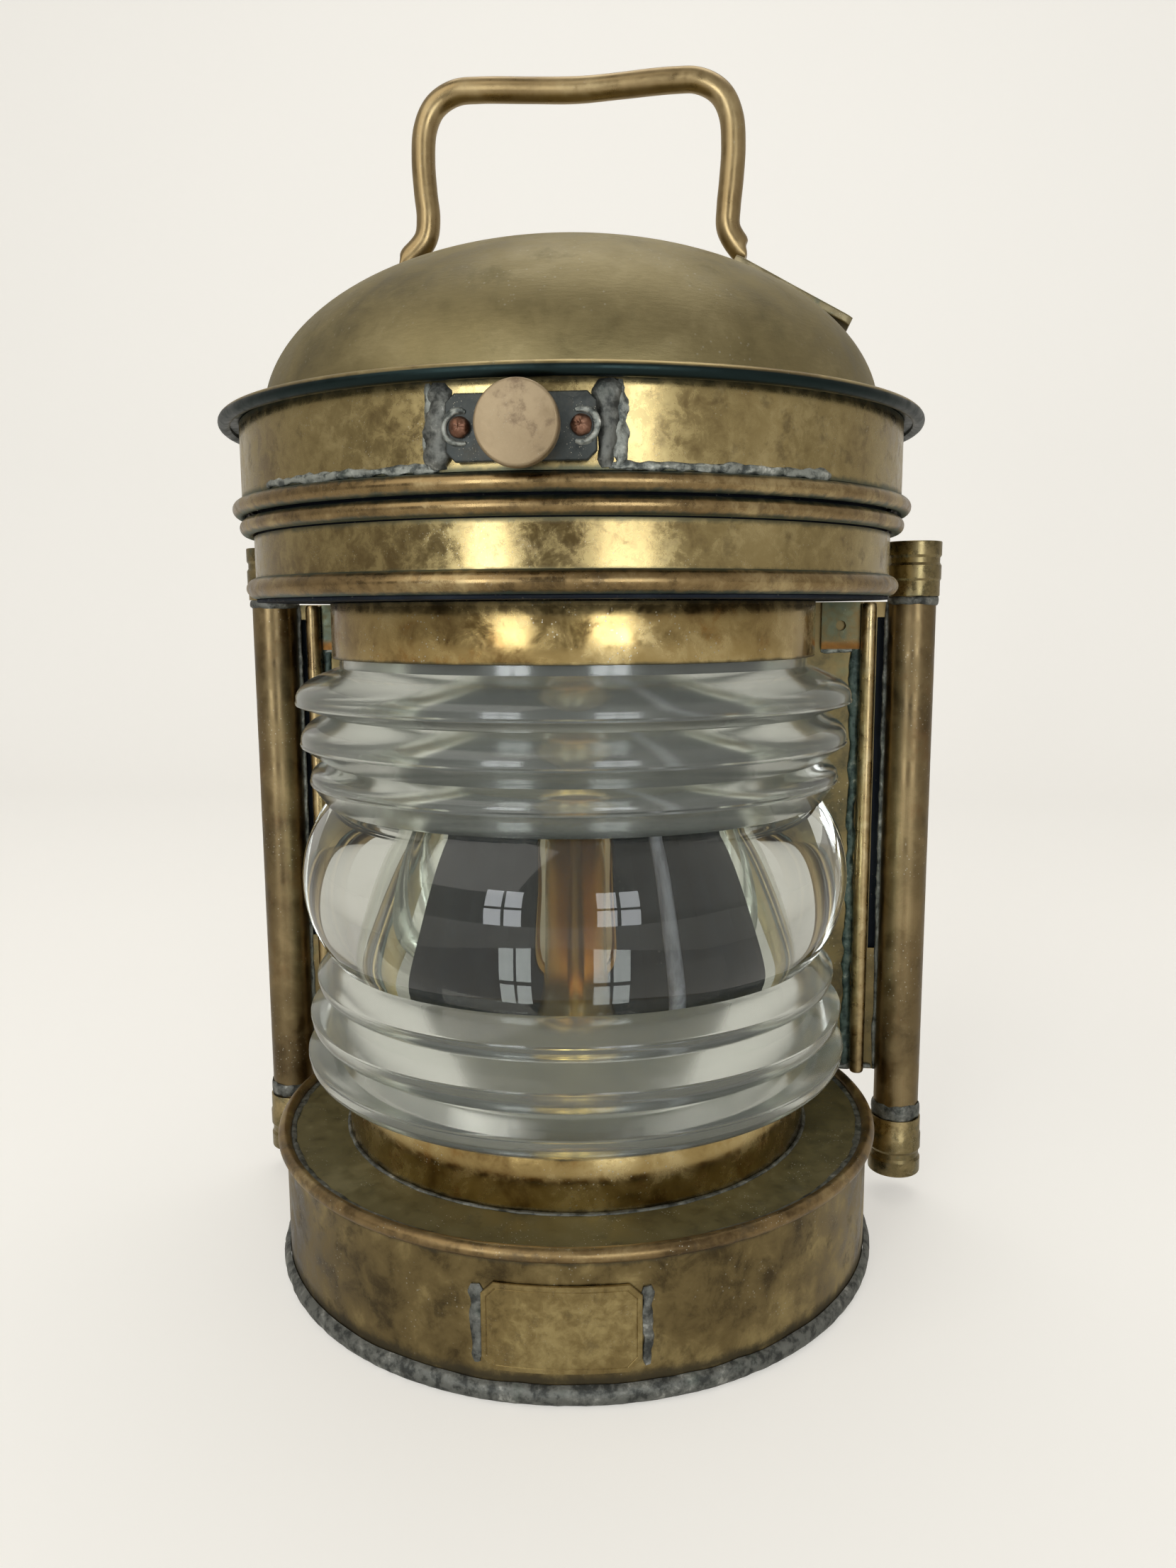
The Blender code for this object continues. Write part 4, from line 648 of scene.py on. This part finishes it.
def lens_profile():
    """Closed outline of the glass: three ribs above the belly, the same below, and a straight bore."""
    neck, groove, belly, bore, belly_half = 0.0861, 0.092, 0.102, 0.0805, 0.028
    tips = ((0.961, 0.440), (0.990, 0.606), (1.003, 0.785))
    roots = (0.525, 0.732, 0.935)
    half = LENS_HALF
    points = [(neck, half), (neck, half * roots[2])]
    for i in (2, 1, 0):
        root = (neck if i == 2 else groove, half * roots[i])
        tip = (belly * tips[i][0], half * tips[i][1])
        crest = (root[0] + (tip[0] - root[0]) * 0.775, tip[1] + (root[1] - tip[1]) * 0.55)
        points += parabola(root, crest, (tip[0] - 0.0004, tip[1] + 0.0006), 8)
        points += [(tip[0], tip[1] + 0.0001), (tip[0] - 0.0001, tip[1] - 0.0005), (tip[0] - 0.0007, tip[1] - 0.0009)]
        end = half * roots[i - 1] if i else belly_half
        points += [(groove + 0.0009, end + 0.0002 + (tip[1] - end) * 0.08), (groove, end)]
    depth = belly - groove
    arc_r = (belly_half ** 2 + depth ** 2) / (2 * depth)
    turn = atan2(belly_half, arc_r - depth)
    points_round = [turn * (1 - i / 18) for i in range(1, 36)]
    belly_arc = [(belly - arc_r + arc_r * cos(t), arc_r * sin(t)) for t in points_round]
    lower = [(r, -z) for r, z in reversed(points)]
    outline = points + belly_arc + lower + [(bore, -half), (bore, half)]
    return [(r, LENS_MIDDLE + z) for r, z in outline]


def build_lens():
    shape = turned(lens_profile(), -LENS_END, 2 * LENS_END, 150)
    add_piece("drum_lens", shape, "lantern", lens_glass, ["lens"], 40)
    ledges = {"lower_collar": top("lower_lens_seal") - 0.0023, "upper_collar": top("upper_lens_seal") + 0.0015}
    for node, ledge in ledges.items():
        r, (z0, z1) = reach(node), span(node)
        inner = r - SHEET
        outline = [(r, z0), (r, z1), (inner, z1), (inner, ledge), (inner - 0.0055, ledge),
                   (inner - 0.0055, ledge - SHEET), (inner, ledge - SHEET), (inner, z0)]
        add_piece(node + "_skin", turned(rounded(outline, 0.0004, 2)), "lantern", collar_look, [node])
    for node in ("lower_lens_seal", "upper_lens_seal"):
        wear(node, rubber)


# ---------------------------------------------------------------- head and hood


def build_head():
    r, inner, (z0, z1) = reach("head_band"), 0.0823, span("head_deck")
    plate = rounded([(inner, z0), (r, z0), (r, z1), (inner, z1)], 0.0003, 1)
    add_piece("head_deck_plate", turned(plate), "lantern", inside_look, ["head_deck"])
    band_skin("head_band_skin", "head_band", "lantern", head_band_look)
    seat = r + GAP
    bead = half_bead(seat, reach("head_lower_bead") - seat, *span("head_lower_bead"), 12, 0.6)
    add_piece("head_bead_low", turned(bead), "lantern", bead_look, ["head_lower_bead"], 60)
    add_wire("head_upper_bead", "head_bead_wire", "lantern", bead_look)
    add_wire("hood_bead", "hood_bead_wire", "hood", bead_look)


def cut_stud_hole(band, band_r):
    hole_r, half = 0.0034, 0.006
    latch_z = sum(span("latch_stud")) / 2
    hole = turned([(0, -half), (hole_r, -half), (hole_r, half), (0, half)], steps=24)
    upright(hole, Vector((0, -band_r, latch_z)), (0, -1, 0))
    cutter = link_object("hole_cutter", to_mesh("hole_cutter", hole))
    cutter.hide_render = cutter.hide_viewport = True
    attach(cutter, "hood")
    opened = band.modifiers.new("stud_hole", "BOOLEAN")
    opened.object, opened.solver = cutter, "EXACT"


def brim_outline(band_r):
    """A sheet that slopes outwards from under the dome to a rolled lip."""
    lip_r, slope, inner = 0.0022, 0.12, reach("dome") - 0.004
    edge = reach("brim") - lip_r
    zero = low("brim") + lip_r * sin(radians(75.6)) - SHEET / 2 - slope * (band_r - edge)
    places = [(x, zero + slope * (band_r - x)) for x in (inner, band_r, edge - lip_r * 0.8)]
    centre = (edge, zero + slope * (band_r - edge) + SHEET / 2)
    return places + arc(centre, lip_r, radians(-140), radians(140), 14) + [(x, z + SHEET) for x, z in places[::-1]]


def dome_section(wall, steps=44):
    """Points up the dome's elliptic section, inside its skin by a wall."""
    r, (base, crown) = reach("dome"), span("dome")
    turns = [pi / 2 * i / steps for i in range(steps)]
    return [((r - wall) * cos(t), base + (crown - base - wall) * sin(t)) for t in turns] + [(0, crown - wall)]


def build_hood():
    r = reach("hood_band")
    cut_stud_hole(band_skin("hood_band_skin", "hood_band", "hood", hood_band_look), r)
    add_piece("brim_rolled", turned(brim_outline(r)), "hood", brim_look, ["brim"], 40)
    shell = dome_section(0.0) + dome_section(SHEET)[::-1]
    add_piece("dome_skin", turned(shell), "hood", dome_look, ["dome"])


# ---------------------------------------------------------------- latch


def rivet_head(radius, height, seed, lumps=0.05, steps=28):
    """A hammered, domed rivet head that rises from the plane z = 0."""
    turns = [radians(a) for a in range(0, 85, 12)]
    dome = [(radius * cos(t), height * (0.12 + 0.88 * sin(t))) for t in turns]

    def hammer(turn, r, z):
        dent = lumps * abs(lumpy(Vector((sin(turn), cos(turn), z / height)) * 0.01, 160.0, seed))
        return r * (1 - dent), z * (1 - dent * (z > 0))

    return turned([(0, 0), (radius * 0.97, 0)] + dome + [(0, height)], steps=steps, warp=hammer)


def latch_rivet(side, sign, plate_y, latch_z):
    node = "latch_rivet_" + side
    lo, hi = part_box(node)
    x, seat = (lo.x + hi.x) / 2, plate_y - GAP
    head = rivet_head((hi.x - lo.x) / 2, seat - lo.y, 3.0 + sign, lumps=0.16)
    upright(head, Vector((x, seat, latch_z)), (0, -1, 0))
    add_piece(node + "_head", head, "hood", copper_look, [node], 50)
    ring_r, turns = 0.0043, [radians(-112 + 224 * i / 30) for i in range(31)]
    points = [Vector((x + sign * ring_r * cos(t), plate_y, latch_z + ring_r * sin(t))) for t in turns]
    solder_run("rivet_solder_" + side, points, forwards, 0.0009, 0.0008, 7.0 + sign, pale_lead, "hood", rough=0.5)


def build_latch():
    lo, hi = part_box("latch_plate")
    latch_z, thick = (lo.z + hi.z) / 2, hi.y - lo.y
    levels = ((0, 0), (0, thick * 0.75), (0.00025, thick * 0.93), (0.0006, thick))
    plate = clipped_plate(hi.x, (hi.z - lo.z) / 2, 0.0025, levels)
    bmesh.ops.translate(plate, vec=(0, hi.y, latch_z), verts=plate.verts)
    add_piece("latch_backplate", plate, "hood", slate_look, ["latch_plate"], 25)

    band_r, (z0, z1) = reach("hood_band"), span("hood_band")
    solder_rows = ((0.0026, 0.0032, 0.0019, lead), (0.0058, 0.0017, 0.0010, pale_lead))
    for side, sign in SIDES:
        latch_rivet(side, sign, lo.y, latch_z)
        for row, (inset, wide, tall, material) in enumerate(solder_rows):
            points = []
            for i in range(23):
                away = hi.x + inset + 0.0006 * lumpy(Vector((0, 0, i * 0.001)), 210.0, sign * 2 + row)
                turn = sign * away / band_r
                height = z0 + 0.0006 + (z1 - z0 - 0.0022) * i / 22
                points.append(Vector((band_r * sin(turn), -band_r * cos(turn), height)))
            solder_run("latch_solder_%s_%d" % (side, row), points, outwards, wide, tall, 11.0 + sign + row, material,
                       "hood", rough=0.75)
        first = sign * (hi.x + 0.003) / band_r
        points = ring_points(band_r, z0 + 0.0011, first, first + sign * 0.62, 60)
        solder_run("band_foot_solder_" + side, points, outwards, 0.0012, 0.0007, 15.0 + sign, pale_lead,
                   "hood", rough=0.7)
    build_knob(latch_z)


def build_knob(latch_z):
    lo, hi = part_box("latch_knob")
    length, face_r, neck_r, bore = hi.y - lo.y, (hi.z - lo.z) / 2, 0.0065, 0.0033
    edge, face_base, bore_end, dish = 0.0009, 0.001, 0.004, 0.0002
    outline = [(bore, 0), (neck_r, 0), (neck_r, face_base), (face_r - edge, face_base)]
    outline += arc((face_r - edge, face_base + edge), edge, -pi / 2, 0, 5)
    outline += arc((face_r - edge, length - edge - dish), edge, 0, pi / 2, 6)
    outline += [(face_r * 0.62, length - dish * 0.4), (face_r * 0.3, length), (0, length), (0, bore_end),
                (bore, bore_end)]
    knob = upright(turned(outline, steps=72), Vector((0, hi.y, latch_z)), (0, -1, 0))
    add_piece("knob_face", knob, "latch_knob", knob_look, ["latch_knob"], 40)


# ---------------------------------------------------------------- handle, straps and hinge


def strap_point(x, lift=0.0):
    """A point on the line where a straight strap rests on the dome, raised along its normal."""
    rd, (base, crown), touch = reach("dome"), span("dome"), 0.077
    rise = crown - base
    z = rise * sqrt(1 - (touch / rd) ** 2)
    normal = Vector((touch / rd ** 2, 0, z / rise ** 2)).normalized()
    point = Vector((touch, 0, base + z)) + Vector((1, 0, -normal.x / normal.z)) * (abs(x) - touch) + normal * lift
    side = 1 if x > 0 else -1
    return Vector((side * point.x, 0, point.z)), Vector((side * normal.x, 0, normal.z))


def build_handle():
    """A bent rod whose flattened feet lie on the straps. Bends are shares of its half width and its rise."""
    strap_thick, rod = 0.003, 0.00425
    crown, rise, half, lean = top("dome"), 0.057, 0.0545, 0.002
    bends = ((1.00, 0.130), (0.985, 0.260), (1.000, 0.420), (1.010, 0.600), (0.995, 0.780),
             (0.925, 0.915), (0.790, 0.990), (0.620, 1.000), (0.300, 0.985))

    def side(sign):
        feet = [strap_point(sign * x, strap_thick + 2 * GAP + rod)[0] for x in (0.059, 0.056)]
        return feet + [Vector((sign * half * a + lean * min(1, 5 * b), 0, crown + rise * b)) for a, b in bends]

    points = curve_points(side(-1) + [Vector((lean, 0, crown + rise * 0.972))] + side(1)[::-1], 10)
    route = frames(points, lambda p: Vector((0, 1, 0)))
    last = len(route) - 1

    def section(i):
        flat = max(0.0, 1 - min(i, last - i) / 13) ** 1.5
        swell = 1 + 0.02 * lumpy(points[i], 60.0, 4.0)
        wide, tall = rod * (1 + 0.12 * flat) * swell, rod * (1 - 0.62 * flat) * swell
        return [(tall * a + tall - rod, wide * b) for a, b in circle(1.0, 24)]

    add_piece("handle_rod", sweep(route, section), "hood", handle_look, ["handle"], 50)
    for side_name, sign in SIDES:
        build_strap(side_name, sign, strap_thick)


def build_strap(side, sign, thick):
    half, first, last, steps = 0.010, 0.057, 0.097, 32
    route = []
    for i in range(steps + 1):
        point, normal = strap_point(sign * (first + (last - first) * i / steps), GAP + thick / 2)
        route.append((point, Vector((0, 1, 0)), normal))

    def section(i):
        near = min(i, steps - i) / steps
        wide = half * (1 - 0.10 * max(0, 1 - near * 16) ** 2) * (1 + 0.02 * lumpy(route[i][0], 90.0, 6.0))
        tall = thick / 2
        return rounded([(-wide, -tall), (wide, -tall), (wide, tall), (-wide, tall)], 0.0007, 3)

    add_piece("strap_" + side, sweep(route, section), "hood", strap_look, ["handle_strap_" + side], 40)
    for i, x in enumerate((0.0755, 0.0895)):
        point, normal = strap_point(sign * x, GAP * 2 + thick)
        node = "strap_rivet_%s_%d" % (side, i + 1)
        head = upright(rivet_head(0.0031, 0.0019, 20.0 + i + sign, lumps=0.14), point, normal)
        add_piece(node + "_head", head, "hood", copper_look, [node], 50)


def build_hinge():
    wear("hinge_leaf_lower", strap_look, 0.0003)
    wear("hinge_leaf_upper", strap_look, 0.0003)
    wear("hinge_pin", post_look, 0.0003)
    inset, spread = 0.0055, 0.0115
    rivet_rows = (("lantern", low("hinge_leaf_lower") + inset, 0.1200),
                  ("hood", top("hinge_leaf_upper") - inset, 0.1220))
    for body, z, face in rivet_rows:
        for i, x in enumerate((-spread, 0, spread)):
            head = upright(rivet_head(0.0021, 0.0012, 30.0 + i), Vector((x, face, z)), (0, 1, 0))
            add_piece("hinge_rivet_%s_%d" % (body, i + 1), head, body, copper_look, (), 50)


# ---------------------------------------------------------------- columns


def build_columns():
    outer, bore = 0.009, 0.0076
    for side, sign in SIDES:
        centre = (sign * tube_x, tube_y)
        z0, z1 = span("guide_tube_" + side)

        def wobble(turn, r, z):
            spot = Vector((sin(turn) * 0.01, cos(turn) * 0.01, z))
            return r * (1 + 0.006 * lumpy(spot, 55.0, 40.0 + sign) * (r > bore)), z

        shape = turned(rows(outer, z0, z1, 30) + [(bore, z1), (bore, z0)], steps=56, centre=centre, warp=wobble)
        look = tube_look_left if sign < 0 else tube_look_right
        add_piece("tube_" + side, shape, "lantern", look, ["guide_tube_" + side], 40)
        for end, slot in (("top", "brass"), ("bottom", "dark_brass")):
            node = "tube_%s_cap_%s" % (end, side)
            shape = turned(cap_outline(*span(node), end == "top"), steps=72, centre=centre)
            add_piece(node + "_rings", shape, "lantern", cap_look, [node], 25)
        seams = (("upper", low("tube_top_cap_" + side) - 0.0016, 0.0017),
                 ("lower", top("tube_bottom_cap_" + side) + 0.0030, 0.0030))
        for name, z, wide in seams:
            points = ring_points(outer, z, steps=72, centre=centre)
            solder_run("tube_solder_%s_%s" % (name, side), points, lambda p: outwards(p - Vector((*centre, 0))),
                       wide, 0.0008, 50.0 + sign + wide * 1000, closed=True, rough=0.4)
        build_side(side, sign)
        build_slot_channel(side, sign)


def build_slot_channel(side, sign):
    """Dark folded channel behind the side plate's slot."""
    lo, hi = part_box("side_plate_" + side)
    half, deep, wall = 0.0026, 0.0022, 0.0006
    outline = [(-half, 0), (-half, deep), (half, deep), (half, 0), (half - wall, 0), (half - wall, deep - wall),
               (wall - half, deep - wall), (wall - half, 0)]
    route = straight_route(sign * 0.1176, hi.y + GAP, lo.z + 0.048, hi.z - 0.003, 1, (0, 0.01, 0.5, 0.99, 1))
    add_piece("slot_channel_" + side, sweep(route, lambda i: outline), "lantern", inside_look, (), 30)


def straight_route(x, y, z0, z1, out, shares):
    """Frames straight up from z0 to z1, facing backwards for an out of 1 and forwards for -1."""
    return [(Vector((x, y, z0 + (z1 - z0) * t)), Vector((1, 0, 0)), Vector((0, out, 0))) for t in shares]


def cap_outline(base, head, rings_above):
    """Two raised rings with rounded edges, a groove between them and a plain skirt."""
    bore, outer, groove, skirt = 0.0093, 0.0105, 0.0099, 0.0101
    shares = ((bore, 0.0), (skirt, 0.0), (skirt, 0.28), (outer, 0.32), (outer, 0.56), (groove, 0.61),
              (groove, 0.70), (outer, 0.75), (outer, 1.0), (bore, 1.0))
    outline = [(r, base + (head - base) * (s if rings_above else 1 - s)) for r, s in shares]
    return rounded(outline, 0.0007, 3)


def seam(name, start, end, steps, size, seed, material=None, rough=0.6, waver=0.0, waver_seed=0.0):
    """Solder on a face that looks forwards, in a straight line that may waver sideways."""
    points = []
    for i in range(steps + 1):
        x, y, z = (a + (b - a) * i / steps for a, b in zip(start, end))
        points.append(Vector((x + waver * lumpy(Vector((0, 0, i * 0.004)), 60.0, waver_seed), y, z)))
    solder_run(name, points, forwards, *size, seed, material, rough=rough)


def build_side(side, sign):
    plate, post, lug = "side_plate_" + side, "side_post_" + side, "lens_lug_" + side
    wear(plate, plate_look, 0.0002)
    lo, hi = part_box(post)
    x, radius = (lo.x + hi.x) / 2, (hi.x - lo.x) / 2
    depth = hi.y - lo.y - radius
    shares = (0, 0.002, 0.006, 0.012, 0.25, 0.5, 0.75, 0.988, 0.994, 0.998, 1)
    shrink = (0.80, 0.92, 0.98, 1, 1, 1, 1, 1, 0.98, 0.92, 0.80)

    def section(i):
        w = radius * shrink[i]
        front = [(-w * cos(pi * k / 12), depth + w * sin(pi * k / 12)) for k in range(1, 12)]
        return [(-w, 0), (-w, depth)] + front + [(w, depth), (w, 0)]

    route = straight_route(x, hi.y, lo.z, hi.z, -1, shares)
    add_piece("post_" + side, sweep(route, section), "lantern", post_look, [post], 40)
    wear(lug, lug_look, 0.0002)
    seam_x = x - sign * (radius + 0.0016)
    seam("post_seam_" + side, (seam_x, hi.y, lo.z), (seam_x, hi.y, hi.z), 90, (0.0019, 0.0009), 60.0 + sign,
         verdigris_lead, waver=0.0005, waver_seed=sign)
    lo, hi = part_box(lug)
    foot = (hi.y + 0.0002, lo.z - 0.0006)
    seam("lug_foot_solder_" + side, (lo.x, *foot), (hi.x, *foot), 16, (0.0009, 0.0010), 63.0 + sign, pale_lead)
    lo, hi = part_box(plate)
    seam_x, inset = sign * (tube_x - 0.0092), (hi.x - lo.x) * 0.03
    seam("tube_seam_" + side, (seam_x, lo.y, lo.z), (seam_x, lo.y, hi.z), 80, (0.0011, 0.0006), 69.0 + sign, rough=0.5)
    seam("plate_foot_solder_" + side, (lo.x + inset, lo.y, lo.z + 0.0012), (hi.x - inset, lo.y, lo.z + 0.0012), 24,
         (0.0014, 0.0014), 66.0 + sign)


# ---------------------------------------------------------------- lamp


def build_lamp():
    z0, z1 = span("lamp_flange")
    flange_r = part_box("lamp_flange")[1].y
    outline = [(0, z0), (flange_r, z0), (flange_r, z0 + (z1 - z0) * 0.45), (flange_r - 0.003, z1), (0, z1)]
    shape = turned(rounded(outline, 0.0006, 3), steps=96)
    add_piece("flange_disc", shape, "lantern", holder_look, ["lamp_flange"])
    ring_r = 0.0200
    for i in range(3):
        turn = radians(30 + 120 * i)
        place = Vector((ring_r * sin(turn), -ring_r * cos(turn), z1 - 0.0001))
        head = upright(rivet_head(0.0016, 0.0007, 70.0 + i), place, (0, 0, 1))
        add_piece("flange_screw_%d" % (i + 1), head, "lantern", holder_look, (), 40)

    r, (z0, z1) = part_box("lampholder")[1].y, span("lampholder")
    wall, bead = 0.0015, 0.0006
    tall = z1 - z0
    outline = [(r - bead, z0), (r - bead, z0 + tall * 0.10)]
    for share in (0.12, 0.56, 0.90):
        z = z0 + tall * share
        outline += [(r - bead, z - 0.0016), (r, z - 0.0010), (r, z + 0.0010), (r - bead, z + 0.0016)]
    outline += [(r - bead, z1 - 0.0012), (r - 0.0010, z1), (r - wall, z1), (r - wall, z0)]
    shape = turned(rounded(outline, 0.0003, 1), steps=96)
    add_piece("holder_shell", shape, "lantern", holder_look, ["lampholder"])
    wear("lampholder_insert", porcelain)
    build_bulb_cap()
    build_bulb_glass()


def build_bulb_cap():
    """Screw cap with its thread, its contact and the cup that holds the glass."""
    r, (z0, z1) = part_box("bulb_cap")[1].y, span("bulb_cap")
    pitch, depth = 0.0036, 0.0006
    cup_r, cup_base, contact_r, contact_h = 0.0116, z1 - 0.012, 0.0045, 0.004
    start = z0 + contact_h + depth
    outline = [(0, z0), (contact_r, z0), (contact_r + 0.0006, z0 + 0.0008), (r - 0.002, z0 + contact_h),
               (r - depth, start)]
    outline += rows(r - depth / 2, start, z1, 36)[1:] + [(cup_r, z1), (cup_r, cup_base), (0, cup_base)]

    def thread(turn, radius, z):
        if start < z < z1 - 0.001 and radius > r - 0.001:
            radius = r - depth / 2 + depth / 2 * sin(FULL_TURN * (z / pitch) - turn)
        return radius, z

    shape = turned(outline, steps=72, warp=thread)
    add_piece("cap_thread", shape, "bulb_cap", holder_look, ["bulb_cap"], 50)


def build_bulb_glass():
    """Candle bulb with its stem and its bent filament."""
    widest, (z0, z1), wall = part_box("bulb_glass")[1].y, span("bulb_glass"), 0.0009
    shares = ((0, 0.65), (0.14, 0.65), (0.22, 0.78), (0.32, 0.93), (0.42, 1), (0.56, 0.97), (0.70, 0.84), (0.83, 0.62),
              (0.93, 0.36), (0.985, 0.14))
    line = curve_points([Vector((widest * b, 0, z0 + (z1 - z0) * a)) for a, b in shares] + [Vector((0, 0, z1))], 5)
    outer = [(max(0.0, p.x), p.z) for p in line[:-1]] + [(0, z1)]
    ceiling = z1 - wall * 1.5
    inner = [(max(0.0, x - wall), min(z, ceiling)) for x, z in outer[:-1]] + [(0, ceiling)]
    shape = turned(outer + inner[::-1], steps=72)
    add_piece("bulb_shell", shape, "bulb_glass", bulb_glass, ["bulb_glass"], 50)

    base, wire_r = z0 + 0.001, 0.00022
    stem = ((0, 0), (0.0058, 0), (0.0052, 0.006), (0.0026, 0.016), (0.0020, 0.030), (0.0028, 0.0315), (0, 0.032))
    shape = turned([(r, base + z) for r, z in stem], steps=32)
    add_piece("bulb_stem", shape, "bulb_glass", bulb_glass, (), 50)
    bends = ((-0.0016, 0, 0.030), (-0.0052, 0, 0.040), (-0.0058, 0, 0.054), (-0.0030, 0.0006, 0.064), (0, 0, 0.050))
    bends += tuple((-x, -y, z) for x, y, z in bends[3::-1])
    points = curve_points([Vector((x, y, base + z)) for x, y, z in bends], 8)
    wire = frames(points, lambda p: Vector((0, 1, 0)))
    add_piece("filament_loop", sweep(wire, lambda i: circle(wire_r, 8)), "bulb_glass", filament, (), 60)


def build_cable():
    """Lamp lead from the gland down the right of the chamber and under the holder."""
    turn, r, bend = radians(130), 0.0035, 0.028
    out, side = Vector((sin(turn), -cos(turn), 0)), Vector((cos(turn), sin(turn), 0))
    floor, head = 0.0626, 0.205
    corner_out, corner_in = 0.0761, 0.0201
    line = [(0.0901, head), (0.0831, head)]
    line += arc((corner_out, head - bend), bend, pi / 2, pi, 12)
    line += rows(corner_out - bend, head - bend, floor + bend, 6)[1:-1]
    line += arc((corner_in, floor + bend), bend, 0, -pi / 2, 12) + [(0.0168, floor)]
    points = [out * a + Vector((0, 0, z)) for a, z in line]
    shape = sweep(frames(points, lambda p: side), lambda i: circle(r, 20))
    lead_in = add_piece("lamp_lead", shape, "lantern", cable_look, ["lamp_cable"], 50)
    wear("cable_gland", holder_look, 0.0004)
    wear("gland_nut", holder_look, 0.0003)


def dress_hidden_pieces():
    wear("base_floor", drum_look)
    for node in ("inner_neck", "back_shell"):
        wear(node, inside_look)
    for node in ("latch_stud", "latch_nut"):
        wear(node, post_look)


# ---------------------------------------------------------------- studio


def stage_look(name, colour, direct, mirrored):
    """Plain surface that shows its own pale colour to the camera, glass and gloss, with its shadows kept."""
    look = Look(name, 0.0)
    shade = look.mix(look.noise(3.0), colour, tuple(c * 0.97 for c in colour))
    path = look.node("ShaderNodeLightPath").outputs
    bounced = look.both(look.math("MAXIMUM", path["Is Glossy Ray"], path["Is Transmission Ray"]), mirrored)
    glow = look.math("MAXIMUM", look.both(path["Is Camera Ray"], direct), bounced)
    look.set(Base_Color=shade, Roughness=0.8, Emission_Color=colour, Emission_Strength=glow)
    return look.material


def build_floor():
    """A floor that bends up into a backdrop."""
    half, front, back, rise, bend, drop = 3.0, -1.2, 1.6, 2.6, 0.5, 0.0002
    line = [(front, 0.0), (back - bend, 0.0)] + arc((back - bend, bend), bend, -pi / 2, 0, 12)[1:] + [(back, rise)]
    shape = bmesh.new()
    near, far = [[shape.verts.new((x, y, z - drop)) for y, z in line] for x in (-half, half)]
    for i in range(len(line) - 1):
        shape.faces.new((near[i], far[i], far[i + 1], near[i + 1]))
    bmesh.ops.recalc_face_normals(shape, faces=shape.faces)
    mesh = to_mesh("studio_floor", shape)
    mesh.shade_smooth()
    mesh.materials.append(stage_look("floor_look", (0.66, 0.645, 0.61), 0.70, 0.24))
    link_object("studio_floor", mesh)


def add_light(name, azimuth, height, distance, size, power, colour=(1, 1, 1)):
    """Area light at an azimuth round the lantern, aimed at its middle."""
    light = bpy.data.lights.new(name, "AREA")
    light.shape, light.size, light.size_y = "RECTANGLE", size[0], size[1]
    light.energy, light.color = power, colour
    item = link_object(name, light)
    turn = radians(azimuth)
    item.location = (distance * sin(turn), -distance * cos(turn), height)
    aim = Vector((0, 0, 0.2)) - item.location
    item.rotation_euler = aim.to_track_quat("-Z", "Y").to_euler()


def build_world():
    """A room that is brighter behind the lantern than in front of it."""
    world = bpy.data.worlds.new("studio")
    world.use_nodes = True
    nodes = Nodes(world.node_tree)
    way = nodes.node("ShaderNodeTexCoord").outputs["Generated"]
    behind = nodes.band(nodes.node("ShaderNodeSeparateXYZ", _0=way).outputs[1], -0.9, 0.55)
    shade = nodes.tree.nodes["Background"].inputs
    nodes.feed(shade["Color"], nodes.mix(behind, (0.50, 0.475, 0.43), (0.74, 0.70, 0.64)))
    shade["Strength"].default_value = 0.60
    bpy.context.scene.world = world


def build_lights():
    """Two windows of four panes, and three soft lamps."""
    distance, tall, lowest, pitch = 2.4, 0.54, 0.12, 0.62
    for azimuth, spread in ((-21, 16), (23, 18)):
        size = (distance * radians(spread) * 0.42, tall)
        for pane in (-1, 1):
            for row in (0, 1):
                add_light("window_%d_%d_%d" % (azimuth, pane, row), azimuth + pane * spread / 4,
                          lowest + row * pitch, distance, size, 3.2, (0.93, 0.97, 1.0))
    add_light("key", -38, 1.7, 1.9, (1.9, 1.9), 13.0, (1.0, 0.97, 0.92))
    add_light("fill", 55, 1.2, 2.2, (2.2, 2.2), 2.5, (1.0, 0.96, 0.92))
    add_light("top", 170, 1.9, 0.5, (1.4, 1.0), 6.0)


def build_camera():
    camera = bpy.data.cameras.new("camera")
    camera.lens, camera.sensor_width, camera.clip_start = 27.04, 36.0, 0.01
    right, up = Vector((0.99448, 0.10476, -0.00496)), Vector((-0.01023, 0.14396, 0.98953))
    ahead = Vector((-0.10438, 0.98402, -0.14424))
    item = link_object("camera", camera)
    place = Matrix.Translation((0.05181, -0.44075, 0.24223))
    item.matrix_world = place @ Matrix((right, up, -ahead)).transposed().to_4x4()
    bpy.context.scene.camera = item


build_camera()
build_base()
build_lens()
build_head()
build_hood()
build_latch()
build_handle()
build_hinge()
build_columns()
build_lamp()
build_cable()
dress_hidden_pieces()
build_floor()
build_world()
build_lights()
bpy.context.scene.view_settings.view_transform = "Standard"

bpy.context.view_layer.update()
